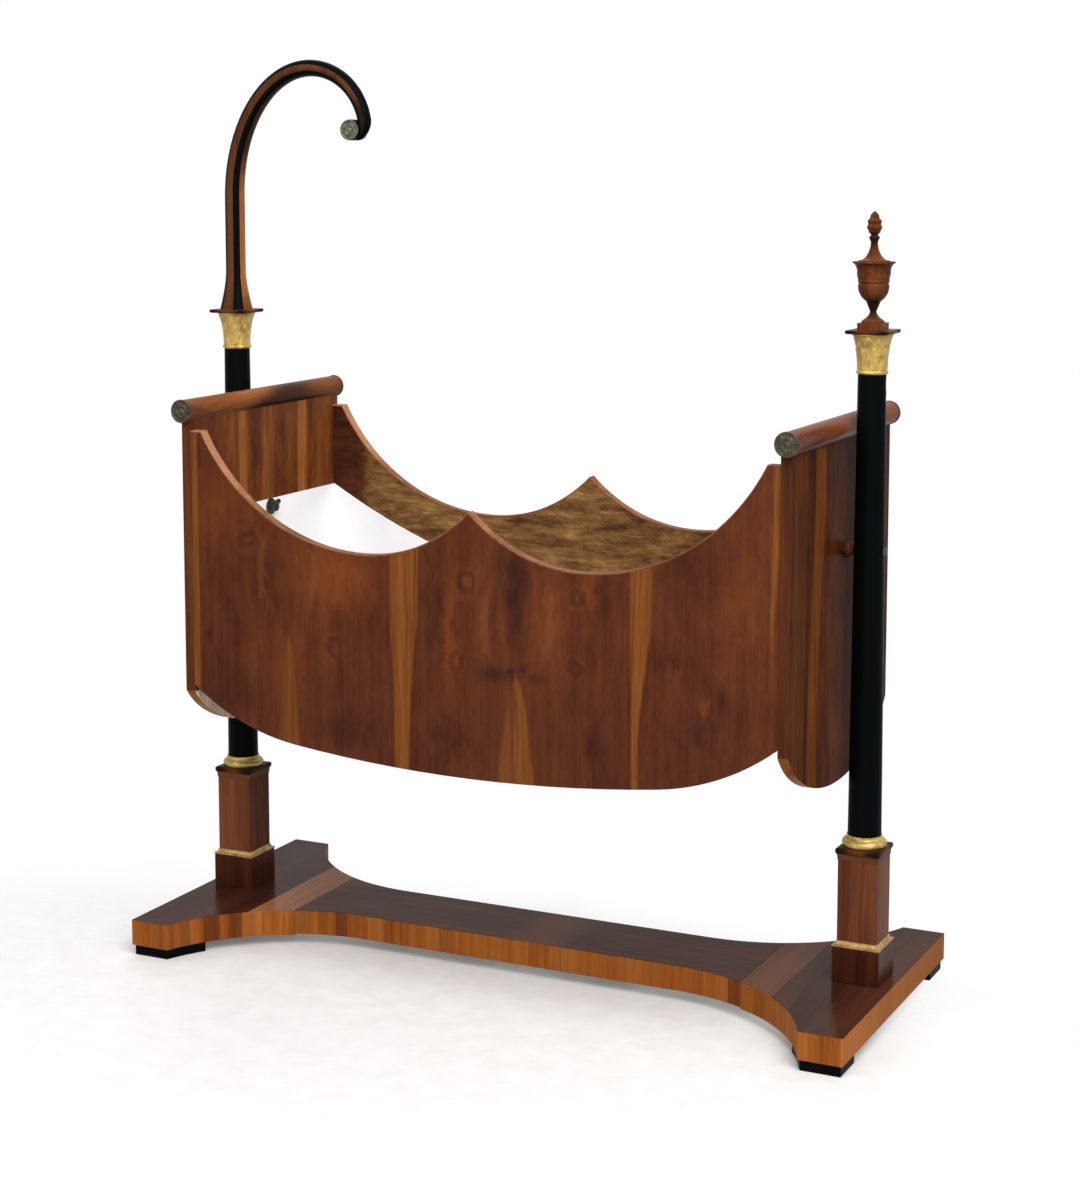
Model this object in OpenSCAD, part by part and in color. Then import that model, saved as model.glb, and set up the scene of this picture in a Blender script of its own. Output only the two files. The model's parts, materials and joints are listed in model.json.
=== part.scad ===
// Hanging cradle: a basket with dipped sides swings between two columns on a waisted platform.
// The origin is on the floor under the middle of the platform. +X runs from the head end, which
// carries the canopy hook, to the foot end, which carries the urn. The front is -Y and up is +Z.

/* [Overall] */
// Height over all, from the floor to the top of the canopy hook
overall_h = 1554.5; // [1500:0.5:1640]
// Length of the platform, which is the length over all
base_l = 1300; // [1200:5:1400]

/* [Platform] */
// How far the platform runs past each column's axis
end_margin = 58.5; // [50:0.5:90]
// Width of the platform
base_w = 546; // [480:2:640]
// Thickness of the platform
base_t = 45; // [36:1:60]
// Length of each corner's straight front edge
corner_l = 73; // [50:1:110]
// Width of the narrow waist
waist_w = 158; // [110:2:200]
// Length of the waist that runs straight
waist_l = 590; // [480:10:680]
// Length of the stretcher between the two end pieces
stretcher_l = 842; // [780:2:900]
// Rise of the stretcher's underside over that of the end pieces
stretcher_up = 2; // [0:0.5:5]
// Height of the feet
foot_h = 18; // [12:1:30]
// Reach of each foot along the platform's end
foot_w = 70; // [50:2:100]
// Setback of the feet from the platform's edge
foot_setback = 4; // [2:1:8]

/* [Pedestals] */
// Side of the square plinth block
block_s = 79; // [72:1:90]
// Height of the plinth block
block_h = 58; // [45:1:75]
// Height of the gilt moulding on the plinth block
fillet_h = 10; // [8:1:16]
// Side of the square pedestal
pedestal_s = 66.5; // [58:0.5:68]
// Height of the pedestal
pedestal_h = 134; // [100:2:170]
// Height of the pale band under the cap
necking_h = 10; // [5:1:12]
// Side of the pedestal's cap
cap_s = 74; // [73:1:90]
// Height of the pedestal's cap
cap_h = 9; // [7:1:18]

/* [Columns] */
// Height of the gilt ring at the foot of the column
ring_h = 19; // [16:1:26]
// Radius of the gilt ring
ring_r = 36.4; // [35:0.2:36.4]
// Radius of the shaft at its foot
shaft_r_low = 27.2; // [24:0.2:28]
// Radius of the shaft at its top
shaft_r_top = 22.6; // [18:0.2:24]
// Height of the gilt capital
capital_h = 64; // [50:1:80]
// Radius of the capital's lip
capital_r = 33; // [29:0.5:34]
// Thickness of the capital's lip
lip_h = 2.5; // [1.5:0.5:5]
// Side of the square abacus
abacus_s = 69.5; // [66:0.5:80]
// Thickness of the abacus
abacus_h = 6; // [4:0.5:10]
// Radius of the tenon under the shaft
tenon_r = 11; // [8:0.5:14]
// Radius of the tenon over the shaft
top_tenon_r = 8; // [6:0.5:10]
// Clearance round the tenons
tenon_clear = 0.15; // [0.1:0.05:0.4]

/* [Canopy hook] */
// Rise of the hook's straight stretch above the abacus
hook_stem = 201; // [160:1:240]
// Rise of the hook's bend above the stem
hook_rise = 222; // [180:1:260]
// Forward reach of the bend, from the stem to its highest point
hook_reach = 158; // [130:1:190]
// Radius of the far side of the bend
hook_bend_r = 110; // [95:1:120]
// Radius of the rod along the stem
hook_r = 17.6; // [14:0.2:19]
// Radius of the rod where it meets the scroll
hook_tip_r = 12; // [9:0.5:13]
// Radius of the rod's flared foot
hook_foot_r = 29; // [22:0.5:32]
// Radius of the round scroll at the tip
scroll_r = 18; // [15:0.5:22]
// Width of the scroll
scroll_w = 31; // [26:1:40]

/* [Urn] */
// Side of the urn's square plinth
urn_plinth_s = 39.5; // [32:0.5:48]
// Height of the urn's square plinth
urn_plinth_h = 11; // [11:1:16]
// Radius of the urn's rim
urn_rim_r = 34; // [30:0.5:36]
// Radius of the urn's upright wall
urn_wall_r = 24.6; // [21:0.2:26]
// Height of the urn's bowl with its rim
urn_bowl_h = 64; // [54:1:76]
// Height of the urn's turned foot
urn_foot_h = 32; // [26:1:40]
// Radius of the turned foot's neck
urn_neck_r = 5.2; // [4:0.2:7]
// Height of the urn's lid up to the flame
urn_lid_h = 43; // [36:1:52]
// Radius of the lid's stalk
urn_stalk_r = 5.6; // [4:0.2:7]
// Height of the carved flame
flame_h = 35.5; // [26:0.5:40]
// Radius of the carved flame
flame_r = 11.4; // [9:0.2:13]

/* [Basket] */
// Width of the basket over its side panels
basket_w = 488; // [420:2:520]
// Thickness of the end panels
end_t = 18; // [14:0.5:22]
// Thickness of the side panels
side_t = 18; // [14:0.5:22]
// Height of the sides' bottom edge over the floor, at mid-length
belly_z = 383; // [360:1:410]
// Radius of the long middle stretch of the bottom edge
belly_r = 2600; // [2200:20:3200]
// Half length of that middle stretch
belly_x = 330; // [280:2:370]
// Radius of the bottom edge near the ends
belly_end_r = 400; // [360:5:460]
// Height of the flat shoulders of the sides
shoulder_z = 924; // [900:1:930]
// Length of each flat shoulder
shoulder_l = 19.5; // [14:0.5:30]
// Depth of the dips under the shoulders
dip_depth = 189; // [150:1:220]
// Distance from mid-length to the lowest point of each dip
dip_x = 200; // [170:1:230]
// Rise of the middle point over the lowest points of the dips
cusp_rise = 83; // [60:1:110]
// Thickness of the pale edging on the sides' top edges
edging_t = 2.5; // [1.5:0.5:4]
// Height of the lowest point of the end panels
apron_z = 386; // [365:1:410]
// Height at which the end panels' front edges become straight
apron_side_z = 477; // [450:1:500]
// Rise of the rolls' axis over the sides' shoulders
roll_rise = 35.4; // [26:0.2:50]
// Radius of the rolls
roll_r = 19; // [16:0.5:21]
// Outward setting of the rolls from the middle of the end panels
roll_shift = 3.5; // [0:0.5:4]
// Length by which a roll stands past each edge of its panel
roll_past = 7.4; // [4:0.2:12]
// Radius of the bronze discs on the rolls' ends
disc_r = 20; // [17:0.5:22]
// Thickness of the bronze discs
disc_t = 3; // [2:0.5:5]

/* [Bottom and lining] */
// Thickness of the bottom board
board_t = 12; // [8:1:18]
// Thickness of the cleats under the bottom board
cleat_t = 12; // [8:1:16]
// Width of the cleats
cleat_w = 16; // [10:1:24]
// Setback of the cleats from the sides' bottom edge
cleat_up = 2; // [1:0.5:6]
// Thickness of the white lining
lining_t = 3; // [2:0.5:6]
// Rise of the lining's head end over the swing axis
lining_rise = 13; // [11:0.5:40]
// Height of the lining's level stretch
lining_side_z = 640; // [600:1:690]
// Place along the sides where the level stretch begins
lining_level_x = -150; // [-250:5:0]

/* [Pivots] */
// Height of the swing axis over the sides' bottom edge
pivot_rise = 382; // [340:1:420]
// Radius of the pivot bolts
bolt_r = 5; // [4:0.5:6]
// Radial clearance of the bolts in their bushes
bush_clear = 0.06; // [0.02:0.01:0.1]
// Wall of the iron bushes
bush_wall = 3.5; // [2.5:0.5:5]
// Thickness of the bushes' inner flanges
flange_t = 2.5; // [1.5:0.5:4]
// Radius of the turned bosses between panels and columns
boss_r = 14; // [12:0.5:17]
// Length of the turned bosses
boss_l = 19.8; // [16:0.2:30]
// Free play along the axis at every turning face
play = 0.5; // [0.3:0.1:1]
// Thickness of the wing nuts
nut_t = 11; // [8:1:16]
// Span of the wing nuts
nut_span = 39; // [30:1:48]
// Height of the bolts' round heads
head_t = 5; // [3:0.5:8]

/* [Hidden] */
$fn = 96;
eps = 0.01;
side_hull_fn = 32;

// The ends are built once on the +X side and mirrored for the head end
foot_end = 1;
head_end = -1;

// Heights of the stack on the platform
base_z = foot_h;
block_z = base_z + base_t;
fillet_z = block_z + block_h;
pedestal_z = fillet_z + fillet_h;
necking_z = pedestal_z + pedestal_h;
cap_z = necking_z + necking_h;
ring_z = cap_z + cap_h;
shaft_z = ring_z + ring_h;
hook_top_r = hook_tip_r + (hook_r - hook_tip_r) * 0.45;
crown_z = overall_h - hook_top_r - hook_rise - hook_stem;
abacus_z = crown_z - abacus_h;
capital_z = abacus_z - capital_h;
shaft_h = capital_z - shaft_z;
pivot_z = belly_z + pivot_rise;
tenon_depth = 40;
top_tenon_l = 9;

// Places along the length, from the platform's ends inward
column_x = base_l / 2 - end_margin;
shaft_r_pivot = shaft_r_low + (shaft_r_top - shaft_r_low) * (pivot_z - shaft_z) / shaft_h;
panel_out_x = column_x - shaft_r_pivot - play - boss_l;
panel_in_x = panel_out_x - end_t;
basket_l = 2 * panel_in_x;
roll_x = panel_in_x + end_t / 2 + roll_shift;

// Round sweeps of the platform, tangent to the waist and running into the corners
sweep_dx = base_l / 2 - corner_l - waist_l / 2;
sweep_dy = (base_w - waist_w) / 2;
sweep_r = (sweep_dx * sweep_dx + sweep_dy * sweep_dy) / (2 * sweep_dy);

// Basket
inner_y = basket_w / 2 - side_t;
belly_angle = asin(belly_x / belly_r);
belly_edge_z = belly_z + belly_r * (1 - cos(belly_angle));
belly_end_cx = belly_x - belly_end_r * sin(belly_angle);
belly_end_cz = belly_edge_z + belly_end_r * cos(belly_angle);
board_up = cleat_up + cleat_t;
floor_up = board_up + board_t;
dip_z = shoulder_z - dip_depth;
cusp_z = dip_z + cusp_rise;
dip_out_dx = panel_in_x - shoulder_l - dip_x;
dip_out_r = (dip_out_dx * dip_out_dx + dip_depth * dip_depth) / (2 * dip_depth);
dip_in_r = (dip_x * dip_x + cusp_rise * cusp_rise) / (2 * cusp_rise);
roll_groove = 7;
roll_z = shoulder_z + roll_rise;
panel_top_z = roll_z - roll_r + roll_groove;
apron_past = 18;
lining_face_x = panel_in_x - lining_t;
lining_head_z = pivot_z + lining_rise;
bush_r = bolt_r + bush_clear + bush_wall;
flange_r = bush_r + 6;
seat_clear = 0.1;
boss_clear = 0.4;
bolt_past_nut = 2;

// Height of the bottom edge at x, raised by up towards the arcs' centres
function belly_at(x, up) =
  abs(x) <= belly_x
    ? belly_z + belly_r - sqrt(pow(belly_r - up, 2) - x * x)
    : belly_end_cz - sqrt(pow(belly_end_r - up, 2) - pow(abs(x) - belly_end_cx, 2));

// Height of the lining's top edge at x
function lining_at(x) =
  x >= lining_level_x
    ? lining_side_z
    : lining_side_z + (lining_head_z - lining_side_z)
      * pow((lining_level_x - x) / (lining_level_x + lining_face_x), 1.6);

// Puts what is built at the +X end at either end
module at_end(end) {
  if (end == foot_end) children();
  else mirror([1, 0, 0]) children();
}

// A square moulding whose outline, given from its foot up, turns the corners as a mitre does
module square_moulding(outline) {
  sides = concat(outline, [for (i = [len(outline) - 1 : -1 : 0]) [-outline[i][0], outline[i][1]]]);
  reach = 4 * max([for (p = outline) p[0]]);
  intersection() {
    rotate([90, 0, 0]) linear_extrude(reach, center = true) polygon(sides);
    rotate([90, 0, 90]) linear_extrude(reach, center = true) polygon(sides);
  }
}

// Points of an ellipse's arc round c, from one angle to another
function arc(c, rx, ry, from, to, steps) =
  [for (i = [0 : steps]) let (a = from + (to - from) * i / steps) [c[0] + rx * cos(a), c[1] + ry * sin(a)]];

// Plan of the platform, drawn in by inset all round
module base_plan(inset) {
  difference() {
    square([base_l - 2 * inset, base_w - 2 * inset], center = true);
    for (side = [-1, 1]) {
      translate([-waist_l / 2, side > 0 ? waist_w / 2 - inset : -base_w])
        square([waist_l, base_w - waist_w / 2 + inset]);
      for (end = [-1, 1])
        translate([end * waist_l / 2, side * (waist_w / 2 + sweep_r)]) circle(sweep_r + inset, $fn = 180);
    }
  }
}

module tenon_hole(low, high) {
  translate([column_x, 0, low - eps]) cylinder(r = tenon_r + tenon_clear, h = high - low + 2 * eps);
}

module base_stretcher() {
  color([0.22, 0.12, 0.08])
    translate([0, 0, base_z + stretcher_up]) linear_extrude(base_t - stretcher_up) intersection() {
      base_plan(0);
      square([stretcher_l, base_w], center = true);
    }
}

module base_end(end) {
  color([0.25, 0.13, 0.08])
    at_end(end) difference() {
      translate([0, 0, base_z]) linear_extrude(base_t) difference() {
        base_plan(0);
        translate([-base_l, -base_w]) square([base_l + stretcher_l / 2, 2 * base_w]);
      }
      tenon_hole(block_z - tenon_depth, block_z);
    }
}

module foot(end, side) {
  color([0.04, 0.04, 0.04])
    linear_extrude(base_z) intersection() {
      base_plan(foot_setback);
      translate([end > 0 ? 0 : -base_l, side > 0 ? base_w / 2 - foot_w : -base_w])
        square([base_l, base_w / 2 + foot_w]);
    }
}

module plinth_block(end) {
  color([0.14, 0.07, 0.05])
    at_end(end) difference() {
      translate([column_x, 0, block_z + block_h / 2]) cube([block_s, block_s, block_h], center = true);
      tenon_hole(block_z, fillet_z);
    }
}

// Gilt moulding: a low band, then a hollow that draws in to the pedestal
module gilt_fillet(end) {
  low = block_s / 2 + 0.5;
  high = pedestal_s / 2 + 1;
  band = fillet_h * 0.35;
  color([0.83, 0.62, 0.24])
    at_end(end) difference() {
      translate([column_x, 0, fillet_z]) square_moulding(concat(
        [[low - 1, 0], [low, 1], [low, band]],
        arc([low - 1, fillet_h], low - 1 - high, fillet_h - band, -90, -180, 6)));
      tenon_hole(fillet_z, pedestal_z);
    }
}

module pedestal(end) {
  color([0.33, 0.17, 0.11])
    at_end(end) difference() {
      translate([column_x, 0, pedestal_z + pedestal_h / 2])
        cube([pedestal_s, pedestal_s, pedestal_h], center = true);
      tenon_hole(pedestal_z, necking_z);
    }
}

module necking(end) {
  half = pedestal_s / 2 + 0.8;
  reach = cap_s / 2 - 1.4 - half;
  color([0.52, 0.31, 0.19])
    at_end(end) difference() {
      translate([column_x, 0, necking_z])
        square_moulding(concat([[half, 0]], arc([half + reach, 0], reach, necking_h, 180, 90, 5)));
      tenon_hole(necking_z, cap_z);
    }
}

// Cap: a small hollow under a square slab with softened edges
module pedestal_cap(end) {
  half = cap_s / 2;
  color([0.16, 0.08, 0.06])
    at_end(end) difference() {
      translate([column_x, 0, cap_z]) square_moulding([
        [half - 1.4, 0], [half - 0.4, 1.5], [half, 2.5], [half, cap_h - 1.5], [half - 1.5, cap_h]
      ]);
      tenon_hole(cap_z, ring_z);
    }
}

// Gilt ring at the foot of the shaft: a round bead, a step and a hollow
module column_ring(end) {
  bead_r = ring_h * 0.32;
  bead_x = ring_r - bead_r;
  step_z = 2 * bead_r;
  step_r = ring_r - 5.5;
  step_h = 1.5;
  edge_h = 1;
  lip_r = shaft_r_low + 1.5;
  hole_r = tenon_r + tenon_clear;
  color([0.83, 0.62, 0.24])
    at_end(end) translate([column_x, 0, ring_z]) rotate_extrude() {
      translate([bead_x, bead_r]) circle(bead_r, $fn = 48);
      polygon(concat(
        [[hole_r, 0], [bead_x, 0], [bead_x, step_z], [step_r, step_z], [step_r, step_z + step_h]],
        arc([step_r, ring_h - edge_h], step_r - lip_r, ring_h - edge_h - step_h - step_z, -90, -180, 6),
        [[lip_r, ring_h], [hole_r, ring_h]]));
    }
}

// Black shaft with a tenon at each end and the bolt's bore across it
module column(end) {
  color([0.03, 0.03, 0.03])
    at_end(end) difference() {
      translate([column_x, 0, 0]) union() {
        translate([0, 0, shaft_z]) cylinder(r1 = shaft_r_low, r2 = shaft_r_top, h = shaft_h);
        translate([0, 0, block_z - tenon_depth])
          cylinder(r = tenon_r, h = shaft_z - block_z + tenon_depth + 1);
        translate([0, 0, capital_z - 1])
          cylinder(r = top_tenon_r, h = crown_z + top_tenon_l - capital_z + 1);
      }
      translate([column_x - 2 * shaft_r_low, 0, pivot_z]) rotate([0, 90, 0])
        cylinder(r = bolt_r + seat_clear, h = 4 * shaft_r_low);
    }
}

// Gilt capital: a bead and a plain bell that turns out to a thin lip
module capital(end) {
  bead_r = 3.5;
  bell_z = 2 * bead_r;
  bell_r = shaft_r_top + 0.7;
  hole_r = top_tenon_r + tenon_clear;
  bell_h = capital_h - lip_h - bell_z;
  color([0.83, 0.62, 0.24])
    at_end(end) translate([column_x, 0, capital_z]) rotate_extrude() {
      translate([shaft_r_top - 0.6, bead_r]) circle(bead_r, $fn = 48);
      polygon(concat(
        [[hole_r, 0], [shaft_r_top - 0.6, 0], [shaft_r_top - 0.6, bell_z]],
        [for (i = [0 : 10]) let (s = 1 - pow(1 - i / 10, 1.6))
          [bell_r + (capital_r - 1 - bell_r) * pow(s, 2.6), bell_z + s * bell_h]],
        [[capital_r, capital_h - lip_h + 0.8], [capital_r, capital_h], [hole_r, capital_h]]));
    }
}

module abacus(end) {
  half = abacus_s / 2;
  color([0.16, 0.07, 0.05])
    at_end(end) difference() {
      translate([column_x, 0, abacus_z])
        square_moulding([[half - 1.5, 0], [half, 1.5], [half, abacus_h - 1], [half - 1, abacus_h]]);
      translate([column_x, 0, abacus_z - 1]) cylinder(r = top_tenon_r + tenon_clear, h = abacus_h + 2);
    }
}

// The hook's centre line, from the abacus up, over the bend and in round the scroll:
// each entry is a place in the X-Z plane, the way the rod runs there, and its radius
hook_x = -column_x;
hook_turn_z = crown_z + hook_stem;
hook_top = [hook_x + hook_reach, hook_turn_z + hook_rise];
hook_bend_c = [hook_top[0], hook_top[1] - hook_bend_r];
flare_h = 66;
hook_bend_end = 10;
curl_start = 38;
curl_turn = 110;
curl_far = scroll_r + 8.4;
curl_near = scroll_r - 3;
curl_c = hook_bend_c + hook_bend_r * [cos(hook_bend_end), sin(hook_bend_end)]
  - curl_far * [cos(curl_start), sin(curl_start)];
function curl_at(s) = let (a = curl_start - curl_turn * s)
  curl_c + (curl_near + (curl_far - curl_near) * pow(1 - s, 3)) * [cos(a), sin(a)];
stem_part = [for (i = [0 : 8]) let (s = i / 8, h = flare_h * s * s) [
  [hook_x, crown_z + h], [0, 1], hook_r + (hook_foot_r - hook_r) * pow(1 - h / flare_h, 1.5)
]];
rise_part = [for (i = [0 : 14])
  let (s = i / 14, a = 90 * s, run = [hook_reach * sin(a), hook_rise * cos(a)]) [
    [hook_top[0] - hook_reach * cos(a), hook_turn_z + hook_rise * sin(a)],
    run / norm(run), hook_r + (hook_top_r - hook_r) * s
  ]];
bend_part = [for (i = [1 : 9]) let (s = i / 9, a = 90 - (90 - hook_bend_end) * s) [
  hook_bend_c + hook_bend_r * [cos(a), sin(a)], [sin(a), -cos(a)], hook_top_r + (hook_tip_r - hook_top_r) * s
]];
curl_part = [for (i = [1 : 8]) let (s = i / 8, run = curl_at(s) - curl_at(s - 0.02)) [
  curl_at(s), run / norm(run), hook_tip_r * (1 - 0.7 * pow(s, 1.3))
]];
hook_line = concat(stem_part, rise_part, bend_part, curl_part);
hook_sides = 16;

function ring_at(entry) = [for (k = [0 : hook_sides - 1]) let (a = 360 * k / hook_sides) [
  entry[0][0] - entry[2] * cos(a) * entry[1][1],
  -entry[2] * sin(a),
  entry[0][1] + entry[2] * cos(a) * entry[1][0]
]];

module canopy_hook() {
  rings = len(hook_line);
  points = [for (entry = hook_line) each ring_at(entry)];
  walls = [for (i = [0 : rings - 2], k = [0 : hook_sides - 1])
    let (n = (k + 1) % hook_sides, b = i * hook_sides)
    each [[b + k, b + hook_sides + k, b + n], [b + n, b + hook_sides + k, b + hook_sides + n]]];
  low_end = [[for (k = [0 : hook_sides - 1]) k]];
  high_end = [[for (k = [hook_sides - 1 : -1 : 0]) (rings - 1) * hook_sides + k]];
  color([0.35, 0.17, 0.09]) difference() {
    union() {
      polyhedron(points, concat(low_end, walls, high_end), convexity = 6);
      translate([curl_c[0], scroll_w / 2, curl_c[1]]) rotate([90, 0, 0])
        cylinder(r = scroll_r, h = scroll_w, $fn = 40);
    }
    translate([hook_x, 0, crown_z - 1])
      cylinder(r = top_tenon_r + tenon_clear, h = top_tenon_l + 2, $fn = 32);
  }
}

// Bronze discs on both faces of the scroll, with a raised ring and a round middle
module hook_rosettes() {
  color([0.36, 0.36, 0.29])
    for (side = [-1, 1])
      translate([curl_c[0], side * scroll_w / 2, curl_c[1]]) rotate([side * -90, 0, 0])
        rosette(scroll_r - 0.5, disc_t - 0.5);
}

module rosette(r, t) {
  cylinder(r = r, h = t * 0.5);
  difference() {
    cylinder(r = r, h = t);
    translate([0, 0, t * 0.5]) cylinder(r = r - 2.5, h = t);
  }
  cylinder(r = r * 0.35, h = t);
}

// Square plinth with a turned foot that narrows to a neck and opens into a socket for the bowl
module urn_foot() {
  flare_r = urn_plinth_s / 2 - 1.5;
  socket_r = urn_wall_r / 2 - 2;
  neck_z = urn_foot_h * 0.56;
  step = 1.5;
  ledge_z = 2.5 * step;
  color([0.42, 0.20, 0.12]) translate([column_x, 0, crown_z]) difference() {
    union() {
      translate([0, 0, urn_plinth_h / 2]) cube([urn_plinth_s, urn_plinth_s, urn_plinth_h], center = true);
      translate([0, 0, urn_plinth_h]) rotate_extrude() polygon(concat(
        [[0, 0], [flare_r, 0], [flare_r, ledge_z - step]],
        [for (i = [0 : 8]) let (s = i / 8)
          [urn_neck_r + (flare_r - step - urn_neck_r) * pow(1 - s, 1.9), ledge_z + (neck_z - ledge_z) * s]],
        [[urn_neck_r + 0.4, neck_z + step], [socket_r, urn_foot_h - step]],
        [[socket_r, urn_foot_h], [0, urn_foot_h]]));
    }
    translate([0, 0, -1]) cylinder(r = top_tenon_r + tenon_clear, h = top_tenon_l + 1.3);
  }
}

urn_bowl_z = crown_z + urn_plinth_h + urn_foot_h;

// Bowl: a swelling lower half, a thin hollow line, upright walls and a wide thin rim
module urn_bowl() {
  seat_r = urn_wall_r / 2;
  seat_h = 2.5;
  low_h = urn_bowl_h * 0.42;
  line_z = urn_bowl_h * 0.45;
  wall_z = line_z + 5;
  rim_t = 3;
  lip_r = urn_rim_r - 1;
  color([0.42, 0.20, 0.12]) translate([column_x, 0, urn_bowl_z]) rotate_extrude() polygon(concat(
    [[0, 0], [seat_r - 1.5, 0]],
    [for (i = [0 : 6]) let (s = i / 6)
      [seat_r + (urn_wall_r - seat_r) * sin(90 * s), seat_h + (low_h - seat_h) * pow(s, 1.3)]],
    [[urn_wall_r - 1.2, line_z], [urn_wall_r - 0.9, line_z + 2], [urn_wall_r + 0.7, line_z + 4]],
    arc([lip_r, wall_z], lip_r - urn_wall_r, urn_bowl_h - rim_t - wall_z, 180, 95, 8),
    [[urn_rim_r, urn_bowl_h - rim_t * 0.6], [urn_rim_r - 0.8, urn_bowl_h], [0, urn_bowl_h]]));
}

// Lid: a concave cone that ends in a small cup under the flame
module urn_lid() {
  lid_r = urn_rim_r - 9;
  lid_edge = 1.5;
  cup_r = urn_stalk_r + 2.6;
  cup_h = urn_lid_h / 3;
  neck_z = urn_lid_h - cup_h;
  color([0.42, 0.20, 0.12]) translate([column_x, 0, urn_bowl_z + urn_bowl_h]) rotate_extrude() polygon(concat(
    [[0, 0], [lid_r, 0], [lid_r, lid_edge]],
    arc([lid_r, neck_z], lid_r - urn_stalk_r, neck_z - lid_edge, -90, -180, 10),
    [[urn_stalk_r, neck_z + 0.15 * cup_h], [cup_r, neck_z + 0.55 * cup_h], [cup_r, neck_z + 0.7 * cup_h],
     [urn_stalk_r, neck_z + 0.85 * cup_h], [urn_stalk_r, urn_lid_h], [0, urn_lid_h]]));
}

// Flame: a bud with a blunt tip
module urn_flame() {
  foot_r = urn_stalk_r;
  tip_r = 1.6;
  swell = 0.34;
  color([0.45, 0.20, 0.12]) translate([column_x, 0, urn_bowl_z + urn_bowl_h + urn_lid_h]) rotate_extrude()
    polygon(concat([[0, 0]],
      [for (i = [0 : 5]) let (a = 18 * i)
        [foot_r + (flame_r - foot_r) * sin(a), flame_h * swell * (1 - cos(a))]],
      [for (i = [1 : 8]) let (s = i / 8)
        [tip_r + (flame_r - tip_r) * (1 - s * s), flame_h * (swell + (1 - swell) * s)]],
      [[0, flame_h]]));
}

// Pivots, from the outside in: bolt head, column, boss, end panel with its bush, lining, wing nut
module pivot_bolt(end) {
  tip_x = lining_face_x - flange_t - play - nut_t - bolt_past_nut;
  bolt_l = column_x + shaft_r_pivot + seat_clear - tip_x;
  head_r = 1.6 * bolt_r;
  head_edge = head_t / 5;
  edge_angle = 15;
  color([0.20, 0.20, 0.18])
    at_end(end) translate([tip_x, 0, pivot_z]) rotate([0, 90, 0]) {
      cylinder(r = bolt_r, h = bolt_l + eps);
      translate([0, 0, bolt_l]) rotate_extrude()
        polygon(concat([[0, 0], [head_r, 0], [head_r, head_edge]],
          arc([0, head_edge], head_r, head_t - head_edge, edge_angle, 90, 5)));
    }
}

// Wing nut: a round hub with two slanted ears
module wing_nut(end) {
  nut_x = lining_face_x - flange_t - play;
  hub_r = bolt_r + 2.8;
  ear_r = 4.5;
  ear_t = 3.6;
  slant = 32;
  color([0.25, 0.27, 0.24])
    at_end(end) translate([nut_x - nut_t, 0, pivot_z]) rotate([0, 90, 0]) difference() {
      union() {
        cylinder(r = hub_r, h = nut_t);
        rotate([0, 0, 90 - end * slant]) for (way = [-1, 1]) hull() {
          translate([0, -ear_t / 2, 1]) cube([1, ear_t, nut_t - 2]);
          translate([way * (nut_span / 2 - ear_r), ear_t / 2, nut_t / 2]) rotate([90, 0, 0])
            cylinder(r = ear_r, h = ear_t, $fn = side_hull_fn);
        }
      }
      translate([0, 0, -1]) cylinder(r = bolt_r + 0.03, h = nut_t + 2);
    }
}

// End panel: straight sides, a rounded apron below and a hole for the bush
module end_panel(end) {
  half = basket_w / 2;
  rx = half + apron_past;
  flank = acos(half / rx);
  ry = (apron_side_z - apron_z) / (1 - sin(flank));
  color([0.42, 0.22, 0.13])
    at_end(end) difference() {
      translate([panel_in_x, 0, 0]) rotate([90, 0, 90]) linear_extrude(end_t) polygon(concat(
        [[-half, panel_top_z]],
        arc([0, apron_z + ry], rx, ry, 180 + flank, 360 - flank, 36),
        [[half, panel_top_z]]));
      translate([panel_in_x - 1, 0, pivot_z]) rotate([0, 90, 0])
        cylinder(r = bush_r + seat_clear, h = end_t + 2);
    }
}

// Roll along the top of an end panel, seated over the panel's edge by a groove
module end_roll(end) {
  color([0.48, 0.24, 0.13])
    at_end(end) difference() {
      translate([roll_x, 0, roll_z]) rotate([90, 0, 0])
        cylinder(r = roll_r, h = basket_w + 2 * roll_past, center = true);
      translate([panel_in_x, -basket_w / 2, roll_z - roll_r - 1]) cube([end_t, basket_w, roll_groove + 1]);
    }
}

module roll_discs(end) {
  color([0.36, 0.36, 0.29])
    at_end(end) for (side = [-1, 1])
      translate([roll_x, side * (basket_w / 2 + roll_past), roll_z]) rotate([side * -90, 0, 0])
        rosette(disc_r, disc_t);
}

// Outline of the region over the sides' bottom edge, raised by up
module over_belly(up) {
  intersection() {
    translate([0, belly_z + belly_r]) circle(belly_r - up, $fn = 720);
    translate([-belly_x, 0]) square([2 * belly_x, shoulder_z]);
  }
  for (end = [-1, 1]) intersection() {
    translate([end * belly_end_cx, belly_end_cz]) circle(belly_end_r - up, $fn = 360);
    translate([end > 0 ? belly_x - eps : -panel_in_x, 0]) square([panel_in_x - belly_x + eps, shoulder_z]);
  }
}

// The two dips, drawn in by grow, with the flat shoulders raised by grow
module dips(grow) {
  over = 60;
  for (end = [-1, 1]) mirror([end > 0 ? 0 : 1, 0]) {
    intersection() {
      translate([dip_x, dip_z + dip_out_r]) circle(dip_out_r - grow, $fn = 360);
      translate([dip_x, 0]) square([dip_out_dx, shoulder_z + over]);
    }
    intersection() {
      translate([dip_x, dip_z + dip_in_r]) circle(dip_in_r - grow, $fn = 360);
      translate([-eps, 0]) square([dip_x + 2 * eps, shoulder_z + over]);
    }
  }
}

module side_outline(grow) {
  difference() {
    union() {
      over_belly(0);
      translate([-panel_in_x, shoulder_z - 1]) square([basket_l, 1 + grow]);
    }
    dips(grow);
  }
}

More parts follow.
